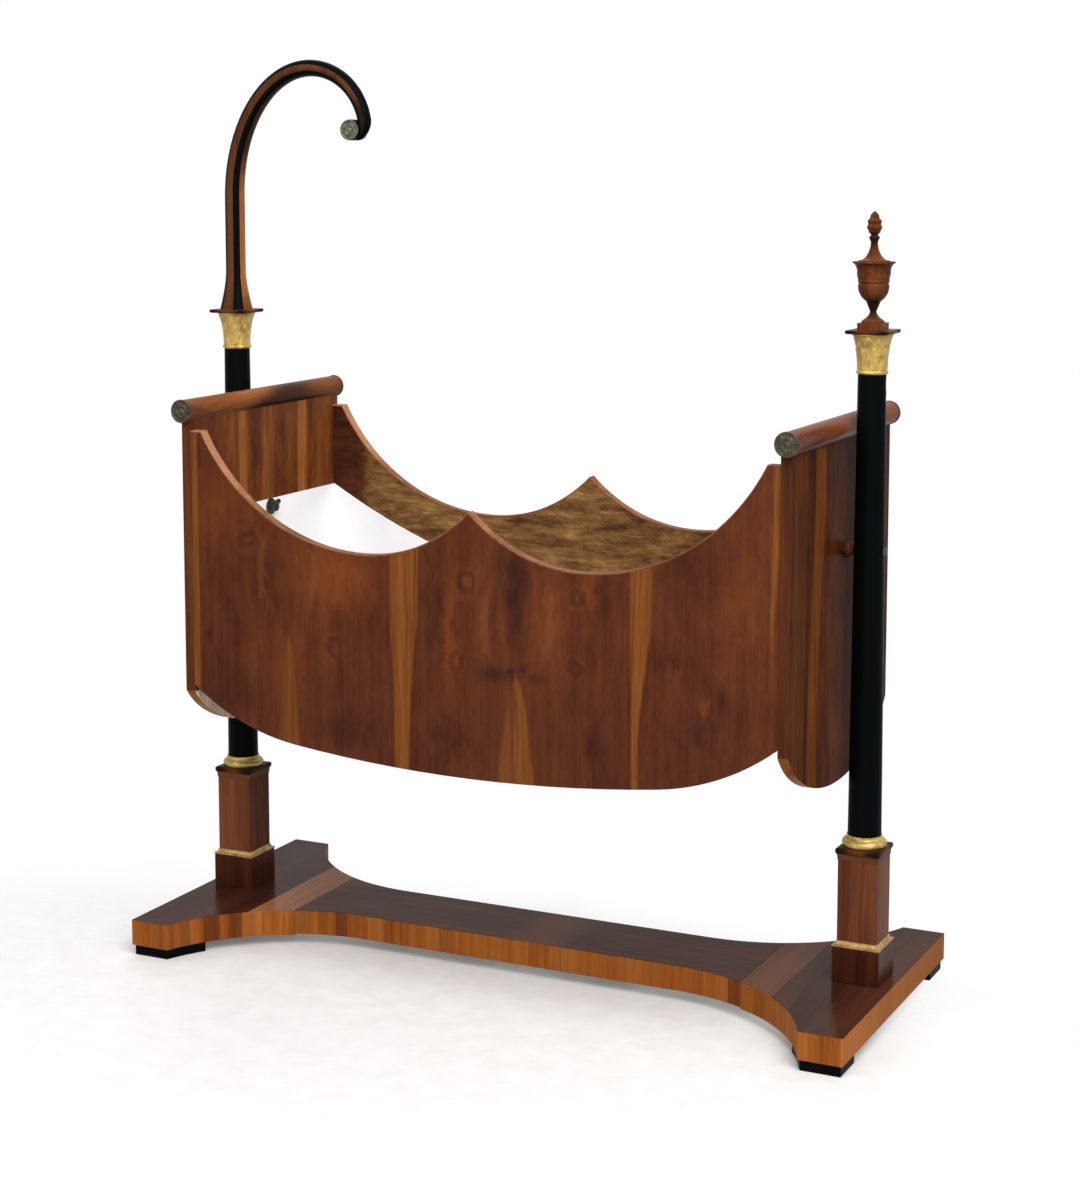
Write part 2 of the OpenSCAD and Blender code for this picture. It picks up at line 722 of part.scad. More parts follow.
// Stands an outline drawn in X and Z upright as a sheet between y and y + t
module upright(y, t) {
  translate([0, y + t, 0]) rotate([90, 0, 0]) linear_extrude(t) children();
}

function sheet_y(side, t) = side < 0 ? -inner_y - side_t : inner_y;

module side_panel(side) {
  color([0.37, 0.19, 0.11]) upright(sheet_y(side), side_t) side_outline(0);
}

module side_edging(side) {
  color([0.72, 0.47, 0.30]) upright(sheet_y(side), side_t) difference() {
    side_outline(edging_t);
    side_outline(0);
  }
}

module bottom_board() {
  color([0.50, 0.38, 0.24]) upright(-inner_y, 2 * inner_y) difference() {
    over_belly(board_up);
    over_belly(floor_up);
  }
}

module bottom_cleats() {
  color([0.45, 0.33, 0.20])
    for (side = [-1, 1]) upright(side < 0 ? -inner_y : inner_y - cleat_w, cleat_w) difference() {
      over_belly(cleat_up);
      over_belly(board_up);
    }
}

// White boards against the end panels, with a hole where the bush comes through
module lining_end(end, top_z) {
  low_z = belly_at(panel_in_x, floor_up) + 0.3;
  color([0.92, 0.93, 0.94])
    at_end(end) difference() {
      translate([lining_face_x, -inner_y, low_z]) cube([lining_t, 2 * inner_y, top_z - low_z]);
      translate([lining_face_x - 1, 0, pivot_z]) rotate([0, 90, 0])
        cylinder(r = bush_r + 0.3, h = lining_t + 2);
    }
}

// White boards against the side panels, high at the head end and level beyond
module lining_side(side) {
  steps = 14;
  color([0.92, 0.93, 0.94])
    upright(side < 0 ? -inner_y : inner_y - lining_t, lining_t) intersection() {
      translate([0, 0.3]) over_belly(floor_up);
      polygon(concat(
        [[-lining_face_x, 0]],
        [for (i = [0 : steps]) let (x = -lining_face_x + (lining_level_x + lining_face_x) * i / steps)
          [x, lining_at(x)]],
        [[lining_face_x, lining_side_z], [lining_face_x, 0]]));
    }
}

// Turned wooden boss, a ball between two collars, that keeps the end panel off the column
module turned_boss(end) {
  collar = boss_r * 0.68;
  collar_l = 2.5;
  color([0.36, 0.17, 0.11])
    at_end(end) translate([panel_out_x, 0, pivot_z]) rotate([0, 90, 0]) difference() {
      rotate_extrude() polygon(concat(
        [[0, 0], [collar, 0]],
        arc([collar, boss_l / 2], boss_r - collar, boss_l / 2 - collar_l, -90, 90, 10),
        [[collar, boss_l], [0, boss_l]]));
      translate([0, 0, -1]) cylinder(r = bolt_r + boss_clear, h = boss_l + 2);
    }
}

// Iron bush through the end panel and the lining, with its flange inside the basket
module pivot_bush(end) {
  color([0.22, 0.22, 0.20])
    at_end(end) translate([lining_face_x - flange_t, 0, pivot_z]) rotate([0, 90, 0]) difference() {
      union() {
        cylinder(r = flange_r, h = flange_t);
        cylinder(r = bush_r, h = flange_t + lining_t + end_t);
      }
      translate([0, 0, -1]) cylinder(r = bolt_r + bush_clear, h = flange_t + lining_t + end_t + 2);
    }
}

base_stretcher();
base_end(head_end);  // base_end_head
base_end(foot_end);  // base_end_foot
foot(head_end, -1);  // foot_head_front
foot(head_end, 1);  // foot_head_back
foot(foot_end, -1);  // foot_urn_front
foot(foot_end, 1);  // foot_urn_back
plinth_block(head_end);  // plinth_block_head
plinth_block(foot_end);  // plinth_block_foot
gilt_fillet(head_end);  // gilt_fillet_head
gilt_fillet(foot_end);  // gilt_fillet_foot
pedestal(head_end);  // pedestal_head
pedestal(foot_end);  // pedestal_foot
necking(head_end);  // necking_head
necking(foot_end);  // necking_foot
pedestal_cap(head_end);  // pedestal_cap_head
pedestal_cap(foot_end);  // pedestal_cap_foot
column_ring(head_end);  // column_ring_head
column_ring(foot_end);  // column_ring_foot
column(head_end);  // column_head
column(foot_end);  // column_foot
capital(head_end);  // capital_head
capital(foot_end);  // capital_foot
abacus(head_end);  // abacus_head
abacus(foot_end);  // abacus_foot
canopy_hook();
hook_rosettes();
urn_foot();
urn_bowl();
urn_lid();
urn_flame();
pivot_bolt(head_end);  // pivot_bolt_head
pivot_bolt(foot_end);  // pivot_bolt_foot
wing_nut(head_end);  // wing_nut_head
wing_nut(foot_end);  // wing_nut_foot
end_panel(head_end);  // end_panel_head
end_panel(foot_end);  // end_panel_foot
end_roll(head_end);  // end_roll_head
end_roll(foot_end);  // end_roll_foot
roll_discs(head_end);  // roll_discs_head
roll_discs(foot_end);  // roll_discs_foot
side_panel(-1);  // side_panel_front
side_panel(1);  // side_panel_back
side_edging(-1);  // side_edging_front
side_edging(1);  // side_edging_back
bottom_board();
bottom_cleats();
lining_end(head_end, lining_head_z);  // lining_head
lining_end(foot_end, lining_side_z);  // lining_foot
lining_side(-1);  // lining_front
lining_side(1);  // lining_back
turned_boss(head_end);  // turned_boss_head
turned_boss(foot_end);  // turned_boss_foot
pivot_bush(head_end);  // pivot_bush_head
pivot_bush(foot_end);  // pivot_bush_foot
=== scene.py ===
"""A hanging cradle: a veneered basket between two black columns on a waisted platform.

Everything is in metres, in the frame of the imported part: +X runs from the head end to the foot end,
the front is -Y and up is +Z. Colours are written as 0 to 255 display values.
"""
import json
import math

import bmesh
import bpy
from mathutils import Matrix, Vector


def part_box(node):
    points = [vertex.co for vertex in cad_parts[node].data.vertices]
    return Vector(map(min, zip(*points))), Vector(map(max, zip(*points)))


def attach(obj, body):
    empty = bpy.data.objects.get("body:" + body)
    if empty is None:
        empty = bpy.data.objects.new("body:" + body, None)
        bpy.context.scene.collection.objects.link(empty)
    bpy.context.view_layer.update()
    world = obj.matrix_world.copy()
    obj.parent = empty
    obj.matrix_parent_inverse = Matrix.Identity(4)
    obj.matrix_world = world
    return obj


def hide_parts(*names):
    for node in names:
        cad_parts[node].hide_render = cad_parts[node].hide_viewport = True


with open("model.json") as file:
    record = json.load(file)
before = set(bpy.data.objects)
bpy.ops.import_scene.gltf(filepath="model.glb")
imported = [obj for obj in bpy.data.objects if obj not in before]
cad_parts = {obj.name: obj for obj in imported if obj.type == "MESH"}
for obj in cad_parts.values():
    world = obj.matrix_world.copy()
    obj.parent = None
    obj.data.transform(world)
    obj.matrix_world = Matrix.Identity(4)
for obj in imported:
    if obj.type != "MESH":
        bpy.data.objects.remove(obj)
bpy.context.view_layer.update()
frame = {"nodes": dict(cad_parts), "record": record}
nodes = frame["nodes"]
body_of = {n: body for body, members in frame["record"]["behaviour"]["bodies"].items() for n in members}

ENDS = {"head": -1, "foot": 1}
SIDES = {"front": -1, "back": 1}


def show(thing):
    bpy.context.scene.collection.objects.link(thing)


# Camera, fitted to the photograph's platform, pedestals and columns
CAMERA_PLACE = (1.7294, -3.5694, 1.3858)
CAMERA_YAW = 25.713
CAMERA_PITCH = -6.818
FOCAL_PIXELS = 2363.4
PHOTO_HEIGHT = 1200
# The row of the photograph that the lens points at
LENS_ROW = 440
SENSOR = 36
FAR_CLIP = 60


def add_camera():
    data = bpy.data.cameras.new("camera")
    data.sensor_fit = "AUTO"
    data.sensor_width = SENSOR
    data.lens = FOCAL_PIXELS / PHOTO_HEIGHT * SENSOR
    data.shift_y = (LENS_ROW - PHOTO_HEIGHT / 2) / PHOTO_HEIGHT
    data.clip_end = FAR_CLIP
    camera = bpy.data.objects.new("camera", data)
    show(camera)
    camera.location = CAMERA_PLACE
    camera.rotation_euler = (math.radians(90 + CAMERA_PITCH), 0, math.radians(CAMERA_YAW))
    bpy.context.scene.camera = camera


def display(red, green, blue):
    """A display colour, 0 to 255, as the linear colour that shaders take."""
    def linear(value):
        value = value / 255
        return value / 12.92 if value <= 0.04045 else ((value + 0.055) / 1.055) ** 2.4
    return (linear(red), linear(green), linear(blue), 1)


def sum_of(operation):
    """A method of Value that adds one math node."""
    return lambda value, other: value.owner.math(operation, value, other)


class Value:
    """A number in a node tree. Sums written with it become math nodes."""
    __add__ = sum_of("ADD")
    __sub__ = sum_of("SUBTRACT")
    __mul__ = sum_of("MULTIPLY")
    __truediv__ = sum_of("DIVIDE")

    def __init__(self, owner, socket):
        self.owner = owner
        self.socket = socket

    def __rsub__(self, other):
        return self.owner.math("SUBTRACT", other, self)

    def __abs__(self):
        return self.owner.math("ABSOLUTE", self)


class Nodes:
    """A node tree, with short calls for the nodes that make a colour, a roughness or a bump."""

    def __init__(self, tree):
        self.tree = tree

    def feed(self, socket, value):
        if isinstance(value, Value):
            value = value.socket
        if isinstance(value, bpy.types.NodeSocket):
            self.tree.links.new(value, socket)
        else:
            socket.default_value = value

    def add(self, kind, inputs=(), **settings):
        """A new node. inputs: values for its first sockets, or a dictionary by socket name or number."""
        node = self.tree.nodes.new(kind)
        for key, value in settings.items():
            setattr(node, key, value)
        for key, value in (inputs.items() if isinstance(inputs, dict) else enumerate(inputs)):
            self.feed(node.inputs[key], value)
        return node

    def math(self, operation, *values):
        return Value(self, self.add("ShaderNodeMath", values, operation=operation).outputs[0])

    def largest(self, a, b):
        return self.math("MAXIMUM", a, b)

    def distance(self, a, b):
        return self.math("SQRT", a * a + b * b)

    def point(self, x, y, z):
        return self.add("ShaderNodeCombineXYZ", (x, y, z)).outputs[0]

    def noise(self, place, scale=1, detail=2, roughness=0.5, distortion=0):
        node = self.add("ShaderNodeTexNoise", {"Vector": place, "Scale": scale, "Detail": detail,
                                               "Roughness": roughness, "Distortion": distortion})
        return Value(self, node.outputs[0])

    def cells(self, value, **settings):
        return self.add("ShaderNodeTexVoronoi", {"W": value}, voronoi_dimensions="1D", **settings).outputs

    def step(self, value, low, high, at_low=0, at_high=1):
        """A smooth change from at_low to at_high as the value goes from low to high."""
        node = self.add("ShaderNodeMapRange", {"Value": value, "From Min": low, "From Max": high,
                                               "To Min": at_low, "To Max": at_high},
                        interpolation_type="SMOOTHSTEP")
        return Value(self, node.outputs[0])

    def along_noise(self, noise, at_low, at_high):
        """A smooth change that follows a noise, most of which lies between 0.3 and 0.7."""
        return self.step(noise, 0.3, 0.7, at_low, at_high)

    def ramp(self, value, stops, low=0.38, high=0.62):
        """Display colours set at even steps between low and high."""
        node = self.add("ShaderNodeValToRGB", [value])
        band = node.color_ramp.elements
        while len(band) < len(stops):
            band.new(0.5)
        for i, stop in enumerate(stops):
            band[i].position = low + (high - low) * i / (len(stops) - 1)
            band[i].color = display(*stop)
        return node.outputs[0]

    def mix(self, share, a, b):
        return self.add("ShaderNodeMix", {0: share, 6: a, 7: b}, data_type="RGBA").outputs[2]

    def stain(self, colour, share, tint):
        """A share of a display colour mixed into a colour."""
        return self.mix(share, colour, display(*tint))

    def bump(self, height, distance, strength=1):
        node = self.add("ShaderNodeBump", {"Height": height, "Distance": distance, "Strength": strength})
        return node.outputs[0]


class Look(Nodes):
    """One material; x, y and z are the place on the object."""

    def __init__(self, name):
        self.material = bpy.data.materials.new(name)
        self.material.use_nodes = True
        super().__init__(self.material.node_tree)
        self.shader = self.tree.nodes["Principled BSDF"]
        self.place = self.add("ShaderNodeTexCoord").outputs["Object"]
        parts = self.add("ShaderNodeSeparateXYZ", [self.place])
        self.x, self.y, self.z = (Value(self, part) for part in parts.outputs)

    def specks(self, scale, detail, roughness=0.5):
        """Noise that is as fine in every direction."""
        return self.noise(self.place, scale, detail, roughness)

    def stretched(self, x, y, z):
        """The place on the object, stretched by a factor along each axis."""
        return self.add("ShaderNodeVectorMath", (self.place, (x, y, z)), operation="MULTIPLY").outputs[0]

    def finish(self, colour, roughness, normal=None, metallic=0, specular=0.5):
        entries = {"Base Color": colour, "Roughness": roughness, "Metallic": metallic,
                   "Specular IOR Level": specular}
        if normal is not None:
            entries["Normal"] = normal
        for key, value in entries.items():
            self.feed(self.shader.inputs[key], value)
        return self.material


# Wood. The grain is noise drawn out along v; u runs across it on the surface and w into the surface.
WOOD_SHINE = 0.035


class Lines:
    """The noises of one grain."""

    def __init__(self, broad, streak, fine, pores):
        self.broad = broad
        self.streak = streak
        self.fine = fine
        self.pores = pores

    def tone(self, broad_share=0.42, streak_share=0.36, fine_share=0.22):
        return self.broad * broad_share + self.streak * streak_share + self.fine * fine_share


def drawn_out(look, u, v, w, across, along, detail, roughness=0.55):
    return look.noise(look.point(u * across, w * across, v * along), detail=detail, roughness=roughness)


def grain(look, u, v, w, wander=0.03, streaks=70, seed=0):
    """The lines of a board whose grain runs along v."""
    w = w + seed
    bend = look.noise(look.point(u * 5, w * 5, v * 2.2), detail=3)
    u = (bend - 0.5) * wander + u
    return Lines(drawn_out(look, u, v, w, streaks * 0.16, 1.3, 3),
                 drawn_out(look, u, v, w, streaks, 2.2, 4, 0.6),
                 drawn_out(look, u, v, w, streaks * 5.5, 8, 3),
                 drawn_out(look, u, v, w, streaks * 20, 26, 2))


def grained(name, along, stops, streaks=70, wander=0.03, seed=0):
    """A new look with its grain along the named axis, with its lines and its first colour."""
    look = Look(name)
    across, deep = (getattr(look, axis) for axis in "xyz" if axis != along)
    lines = grain(look, across, getattr(look, along), deep, wander, streaks, seed)
    return look, lines, look.ramp(lines.tone(), stops)


def polished(look, colour, lines, roughness, depth=0.00005, specular=WOOD_SHINE):
    """Finishes wood: its sheen follows the streaks, and its pores are sunk between the fine lines."""
    normal = look.bump(lines.pores * -0.6 + lines.fine, depth)
    return look.finish(colour, look.along_noise(lines.streak, *roughness), normal, specular=specular)


def wood(name, along, stops, streaks=70, wander=0.03, seed=0, roughness=(0.36, 0.5), depth=0.00005,
         specular=WOOD_SHINE, stains_and_painted_shade=(), pore_share=0.3):
    """Wood of one palette, its pores in the darkest colour.

    A stain or a painted shade is given as its axis, the places with none of it and all of it, its share and
    its colour.
    """
    look, lines, colour = grained(name, along, stops, streaks, wander, seed)
    for axis, none_at, full_at, share, tint in stains_and_painted_shade:
        colour = look.stain(colour, look.step(getattr(look, axis), none_at, full_at, 0, share), tint)
    colour = look.stain(colour, look.step(lines.pores, 0.52, 0.68, 0, pore_share), stops[0])
    return polished(look, colour, lines, roughness, depth, specular)


# Veneer of the long sides, in leaves that are mirrored at every joint.
# Spots on it are given as x, z, half width, half height and strength. The strength of an eye is how
# far it pulls the grain aside, to either side.
LEAF_W = 0.213
MIRROR_X = 0.0865
# Lenses that part the grain over the two flames
LENSES = [(0.0865, 0.65, 0.05, 0.075, 0.55), (-0.34, 0.7, 0.045, 0.07, 0.5)]
# Small eyes, round which the grain curls
EYES = [
    (-0.023, 0.573, 0.014, 0.015, 0.012), (0.189, 0.583, 0.014, 0.014, -0.012),
    (-0.004, 0.708, 0.018, 0.018, 0.014), (-0.252, 0.578, 0.014, 0.014, -0.012),
    (-0.417, 0.747, 0.02, 0.016, 0.014), (0.194, 0.696, 0.014, 0.014, 0.01),
]
# Dark clouds, warm clouds and small ink-dark spots
DARK = [
    (-0.385, 0.69, 0.04, 0.065, 0.62), (-0.455, 0.48, 0.09, 0.055, 0.55), (-0.167, 0.68, 0.016, 0.085, 0.6),
    (-0.063, 0.645, 0.018, 0.095, 0.45), (0.087, 0.695, 0.02, 0.075, 0.85),
    (-0.232, 0.438, 0.075, 0.04, 0.6), (-0.025, 0.44, 0.058, 0.036, 0.6), (0.223, 0.458, 0.02, 0.042, 0.7),
    (0.348, 0.614, 0.026, 0.016, 0.55), (0.239, 0.701, 0.013, 0.08, 0.5), (0.384, 0.76, 0.05, 0.035, 0.45),
    (0.43, 0.52, 0.06, 0.05, 0.4),
]
WARM = [
    (-0.242, 0.703, 0.075, 0.048, 0.85), (-0.035, 0.618, 0.012, 0.09, 0.6), (0.137, 0.65, 0.032, 0.05, 0.4),
    (0.212, 0.716, 0.012, 0.06, 0.5), (0.474, 0.708, 0.024, 0.05, 0.45), (-0.48, 0.8, 0.04, 0.06, 0.5),
    (0.409, 0.548, 0.01, 0.014, 0.6), (-0.34, 0.54, 0.03, 0.05, 0.35),
]
INK = [
    (0.087, 0.725, 0.026, 0.05, 0.42), (0.084, 0.64, 0.012, 0.05, 0.34),
    (0.0745, 0.568, 0.011, 0.0065, 0.8), (0.0965, 0.572, 0.0085, 0.0085, 0.72),
    (0.047, 0.562, 0.034, 0.013, 0.7), (0.118, 0.561, 0.018, 0.007, 0.4), (0.438, 0.555, 0.008, 0.018, 0.7),
    (0.398, 0.495, 0.008, 0.017, 0.7), (-0.498, 0.578, 0.007, 0.01, 0.6), (-0.345, 0.6, 0.006, 0.012, 0.45),
    (0.189, 0.583, 0.007, 0.006, 0.5), (-0.252, 0.578, 0.007, 0.007, 0.4),
]
# Sapwood stripes: middle and half width at the top, middle and half width near the foot, and the
# lower and upper height between which they change
STRIPES = [
    (-0.1176, 0.0265, -0.1245, 0.012, 0.4, 0.74), (0.3005, 0.0168, 0.293, 0.0055, 0.47, 0.68),
    (-0.526, 0.01, -0.526, 0.009, 0.42, 0.8), (0.526, 0.0055, 0.518, 0.003, 0.68, 0.88),
]
# Stripes past this x are the narrow ones at the urn's end, which fade downwards
END_STRIPE_X = 0.5
# Flames of sapwood: joint, height of the point, half width at the foot of the board, and strength
FLAMES = [(0.0855, 0.562, 0.0355, 0.75), (-0.34, 0.592, 0.024, 0.66)]
FLAME_FALL = 0.17
FLAME_CURVE = 0.48

HEARTWOOD = [(56, 27, 18), (76, 38, 23), (89, 46, 28), (98, 53, 30), (112, 63, 34)]
FLAME_WOOD = [(98, 53, 21), (116, 67, 28), (132, 78, 34), (146, 90, 42)]
CLOUD_BROWN = (46, 22, 18)
CLOUD_ORANGE = (126, 66, 29)
INK_BROWN = (44, 24, 24)
LENS_LINE = (132, 76, 42)
RING_DARK = (52, 26, 20)
RING_PALE = (130, 74, 42)
PORE_BROWN = (52, 27, 20)


def oval(look, across, up, spot):
    """A soft oval: its strength at the middle, fading past its half width and half height."""
    middle_x, middle_z, half_x, half_z, strength = spot
    dx = (across - middle_x) / half_x
    dz = (up - middle_z) / half_z
    return look.math("EXPONENT", (dx * dx + dz * dz) * -1) * strength


def clouded(look, across, up, spots):
    """The strongest of several soft ovals at each place."""
    strongest = 0
    for spot in spots:
        strongest = look.largest(oval(look, across, up, spot), strongest)
    return strongest


def curled(look):
    """Position across the grain, bent round the lenses and the eyes."""
    drift = look.noise(look.point(look.x * 6, 3, look.z * 3), detail=3)
    across = (drift - 0.5) * 0.016 + look.x
    for lens in LENSES:
        across = across - oval(look, look.x, look.z, lens) * (look.x - lens[0])
    for eye in EYES:
        across = across + oval(look, look.x, look.z, eye)
    return across


def heartwood(look):
    """Red-brown heartwood with streaks, flecks and mottle, and its lines."""
    across = curled(look)
    leaf = look.math("PINGPONG", across - MIRROR_X, LEAF_W)
    lines = Lines(drawn_out(look, leaf, look.z, look.y, 24, 2.2, 3),
                  drawn_out(look, across, look.z, look.y, 150, 2.6, 4, 0.62),
                  drawn_out(look, across, look.z, look.y, 620, 9, 3),
                  drawn_out(look, look.x, look.z, look.y, 1500, 30, 2))
    flecks = drawn_out(look, across, look.z, look.y, 330, 30, 3)
    mottle = look.noise(look.point(across * 42, 9, look.z * 21), detail=6, roughness=0.66,
                        distortion=0.7)
    tone = mottle * 0.28 + flecks * 0.1 + lines.tone(0.3, 0.22, 0.1)
    return look.ramp(tone, HEARTWOOD, 0.35, 0.65), lines


def spotted(look, colour):
    """Adds the clouds, the paler line round each lens, the rings of the eyes and the ink-dark spots."""
    ragged = look.noise(look.point(look.x * 26, 4, look.z * 18), detail=6, roughness=0.65)
    torn = look.noise(look.point(look.x * 60, 6, look.z * 22), detail=6, roughness=0.65)
    cloud_x = (ragged - 0.5) * 0.07 + look.x
    cloud_z = (torn - 0.5) * 0.13 + look.z
    patchy = look.step(torn, 0.3, 0.6, 0.6, 1)
    low_down = look.step(look.z, 0.6, 0.44, 0, 0.24)
    dark = look.largest(clouded(look, cloud_x, cloud_z, DARK), low_down)
    colour = look.stain(colour, dark * patchy, CLOUD_BROWN)
    colour = look.stain(colour, clouded(look, cloud_x, cloud_z, WARM) * patchy, CLOUD_ORANGE)
    lens_x = (torn - 0.5) * 0.03 + look.x
    for middle_x, middle_z, half_x, half_z, _ in LENSES:
        lens = oval(look, lens_x, cloud_z, (middle_x, middle_z, half_x, half_z, 1))
        line = look.step(lens, 0.12, 0.24) * look.step(lens, 0.42, 0.28)
        line = line * look.step(abs(look.x - middle_x), half_x * 0.55, half_x * 1.15, 0, 0.34)
        colour = look.stain(colour, line, LENS_LINE)
    colour = ringed(look, colour, torn, ragged)
    ink_x = (torn - 0.5) * 0.012 + look.x
    ink_z = (ragged - 0.5) * 0.014 + look.z
    return look.stain(colour, clouded(look, ink_x, ink_z, INK), INK_BROWN)


def ringed(look, colour, torn, ragged):
    """Adds uneven dark and pale rings round every eye."""
    moved_x = (torn - 0.5) * 0.034 + look.x
    moved_z = (ragged - 0.5) * 0.04 + look.z
    for middle_x, middle_z, half_x, half_z, _ in EYES:
        far = look.distance((moved_x - middle_x) / half_x, (moved_z - middle_z) / half_z)
        ring = look.math("SINE", torn * 9 + far * 4.4)
        near = look.step(far, 2.2, 0.3)
        colour = look.stain(colour, near * look.step(ring, 0, 1, 0, 0.42), RING_DARK)
        colour = look.stain(colour, near * look.step(ring, -0.2, -1, 0, 0.3), RING_PALE)
    return colour


def sapwood_share(look, streak):
    """How much of the pale sapwood shows: its stripes and the two flames."""
    moved = (look.noise(look.stretched(12, 0, 6)) - 0.5) * 0.01 + look.x
    share = 0
    for top_x, top_half, low_x, low_half, low_z, top_z in STRIPES:
        middle_x = look.step(look.z, low_z, top_z, low_x, top_x)
        half = look.step(look.z, low_z, top_z, low_half, top_half)
        stripe = look.step(half - abs(moved - middle_x), -0.003, 0.0025)
        if top_x > END_STRIPE_X:
            stripe = stripe * look.step(look.z, 0.58, 0.76, 0.1, 1)
        share = look.largest(stripe, share)
    for joint, point_z, half, strength in FLAMES:
        fall = look.largest(point_z - look.z, 0) / FLAME_FALL
        spread = look.math("POWER", fall, FLAME_CURVE) * half
        side = moved - joint
        flame = look.step(spread - abs(side), 0, 0.007)
        # The half to the left of the joint is fainter, most of all near the point
        faint = look.step(side, -0.006, 0.002, look.step(fall, 0.1, 1, 0.35, 0.8), 1)
        share = look.largest(flame * faint * strength, share)
    return share * look.step(streak, 0.25, 0.7, 1, 0.72)


def side_veneer(name):
    """Outer veneer of the long sides: spotted heartwood with stripes and flames of sapwood."""
    look = Look(name)
    colour, lines = heartwood(look)
    colour = spotted(look, colour)
    pale = look.ramp(lines.fine * 0.5 + lines.streak * 0.5, FLAME_WOOD)
    colour = look.mix(sapwood_share(look, lines.streak), colour, pale)
    colour = look.stain(colour, look.step(lines.pores, 0.54, 0.7, 0, 0.22), PORE_BROWN)
    return polished(look, colour, lines, (0.38, 0.5), 0.00004)


# Height of the lower edge of the veneer inside the end panels
BARE_Z = 0.475
# Bare wood below the veneer, its colours lifted as painted light against the shade under the basket
BARE_WOOD_PAINTED_LIGHT = [(214, 188, 156), (238, 220, 194), (250, 238, 218)]


def end_veneer(name, ground, sapwood, stripes, seed, roughness=(0.36, 0.48), bare=False, specular=WOOD_SHINE):
    """Veneer of an end panel, grain upright. stripes: y at the top, y at the foot, half width, strength.

    A bare panel has no veneer under the basket, below BARE_Z.
    """
    look = Look(name)
    lines = grain(look, look.y, look.z, look.x, wander=0.045, streaks=52, seed=seed)
    mottle = look.noise(look.stretched(30, 30, 12), detail=6, roughness=0.66, distortion=0.6)
    colour = look.ramp(mottle * 0.34 + lines.tone(0.26, 0.26, 0.14), ground, 0.39, 0.61)
    wobble = (look.noise(look.stretched(0, 8, 3)) - 0.5) * 0.02
    pale = look.ramp(lines.fine, sapwood, 0.3, 0.7)
    for y_top, y_low, half, strength in stripes:
        lean = look.step(look.z, 0.45, 0.92, y_low, y_top)
        inside = look.step(half - abs(look.y - lean + wobble), -0.006, 0.004)
        share = inside * look.step(lines.streak, 0.3, 0.65, strength, strength * 0.55)
        colour = look.mix(share, colour, pale)
    colour = look.stain(colour, look.step(lines.pores, 0.52, 0.68, 0, 0.26), ground[0])
    if bare:
        # The bare wood under the basket, lifted as painted light against its shade
        plain = look.ramp(lines.fine, BARE_WOOD_PAINTED_LIGHT, 0.35, 0.65)
        colour = look.mix(look.step(look.z, BARE_Z + 0.001, BARE_Z), colour, plain)
    return polished(look, colour, lines, roughness, specular=specular)


# Platform. A paler band crosses it at each end of the stretcher; the places are along X.
BAND_START = 0.421
BAND_END = 0.49
SEAM = 0.0005
PATCH_X = 0.035
EDGE_PIECES_PER_METRE = 9
END_FACE_X = 0.6485


def platform_top(name):
    """Polished top: long grain along the stretcher, a paler band across each end of it, and cross grain."""
    look = Look(name)
    out = abs(look.x)
    long_grain = grain(look, look.y, look.x, look.z, 0.07, 46, 21).tone()
    cross_grain = grain(look, look.x, look.y, look.z, 0.05, 52, 23).tone()
    colour = look.ramp(long_grain, [(38, 17, 10), (56, 26, 15), (68, 32, 18), (86, 43, 23)])
    colour = look.stain(colour, look.step(abs(look.x - PATCH_X), 0.07, 0.02, 0, 0.5), (108, 60, 38))
    band = look.ramp(cross_grain, [(112, 69, 44), (141, 90, 58), (162, 110, 72)])
    # The band at the urn's end is stained nearly as dark as the rest
    band = look.stain(band, look.step(look.x, 0.3, 0.35, 0, 0.7), (66, 33, 22))
    colour = look.mix(look.step(out, BAND_START - SEAM, BAND_START + SEAM), colour, band)
    end = look.ramp(cross_grain, [(46, 24, 17), (62, 33, 23), (76, 41, 27)])
    colour = look.mix(look.step(out, BAND_END - SEAM, BAND_END + SEAM), colour, end)
    smear = look.specks(7, 4)
    normal = look.bump(long_grain, 0.00002)
    return look.finish(colour, look.along_noise(smear, 0.15, 0.26), normal, specular=0.022)


def platform_edge(name):
    """Upright grain in pieces set side by side round the edge, each a little lighter or darker."""
    look = Look(name)
    along = look.y * 0.37 + look.x
    lines = grain(look, along, look.z, look.y * 0.2, 0.01, 60, 27)
    ground = [(106, 52, 18), (134, 73, 27), (146, 83, 34), (164, 98, 46)]
    colour = look.ramp(lines.tone(0.3, 0.42, 0.28), ground)
    pieces = along * EDGE_PIECES_PER_METRE
    cells = look.cells(pieces)
    pick = look.add("ShaderNodeSeparateXYZ", [cells["Color"]]).outputs
    colour = look.stain(colour, look.step(pick[0], 0.3, 0.9, 0, 0.32), (112, 60, 32))
    colour = look.stain(colour, look.step(pick[1], 0.86, 0.9, 0, 0.62), (74, 36, 22))
    colour = look.stain(colour, look.step(pick[2], 0.6, 0.95, 0, 0.3), (172, 108, 54))
    # The end face under the urn is the palest
    colour = look.stain(colour, look.step(look.x, END_FACE_X - 0.0035, END_FACE_X, 0, 0.55), (186, 114, 56))
    seam = look.cells(pieces, feature="DISTANCE_TO_EDGE")["Distance"]
    colour = look.stain(colour, look.step(seam, 0.012, 0, 0, 0.5), (70, 34, 18))
    return polished(look, colour, lines, (0.38, 0.5), 0.00004, specular=0.01)


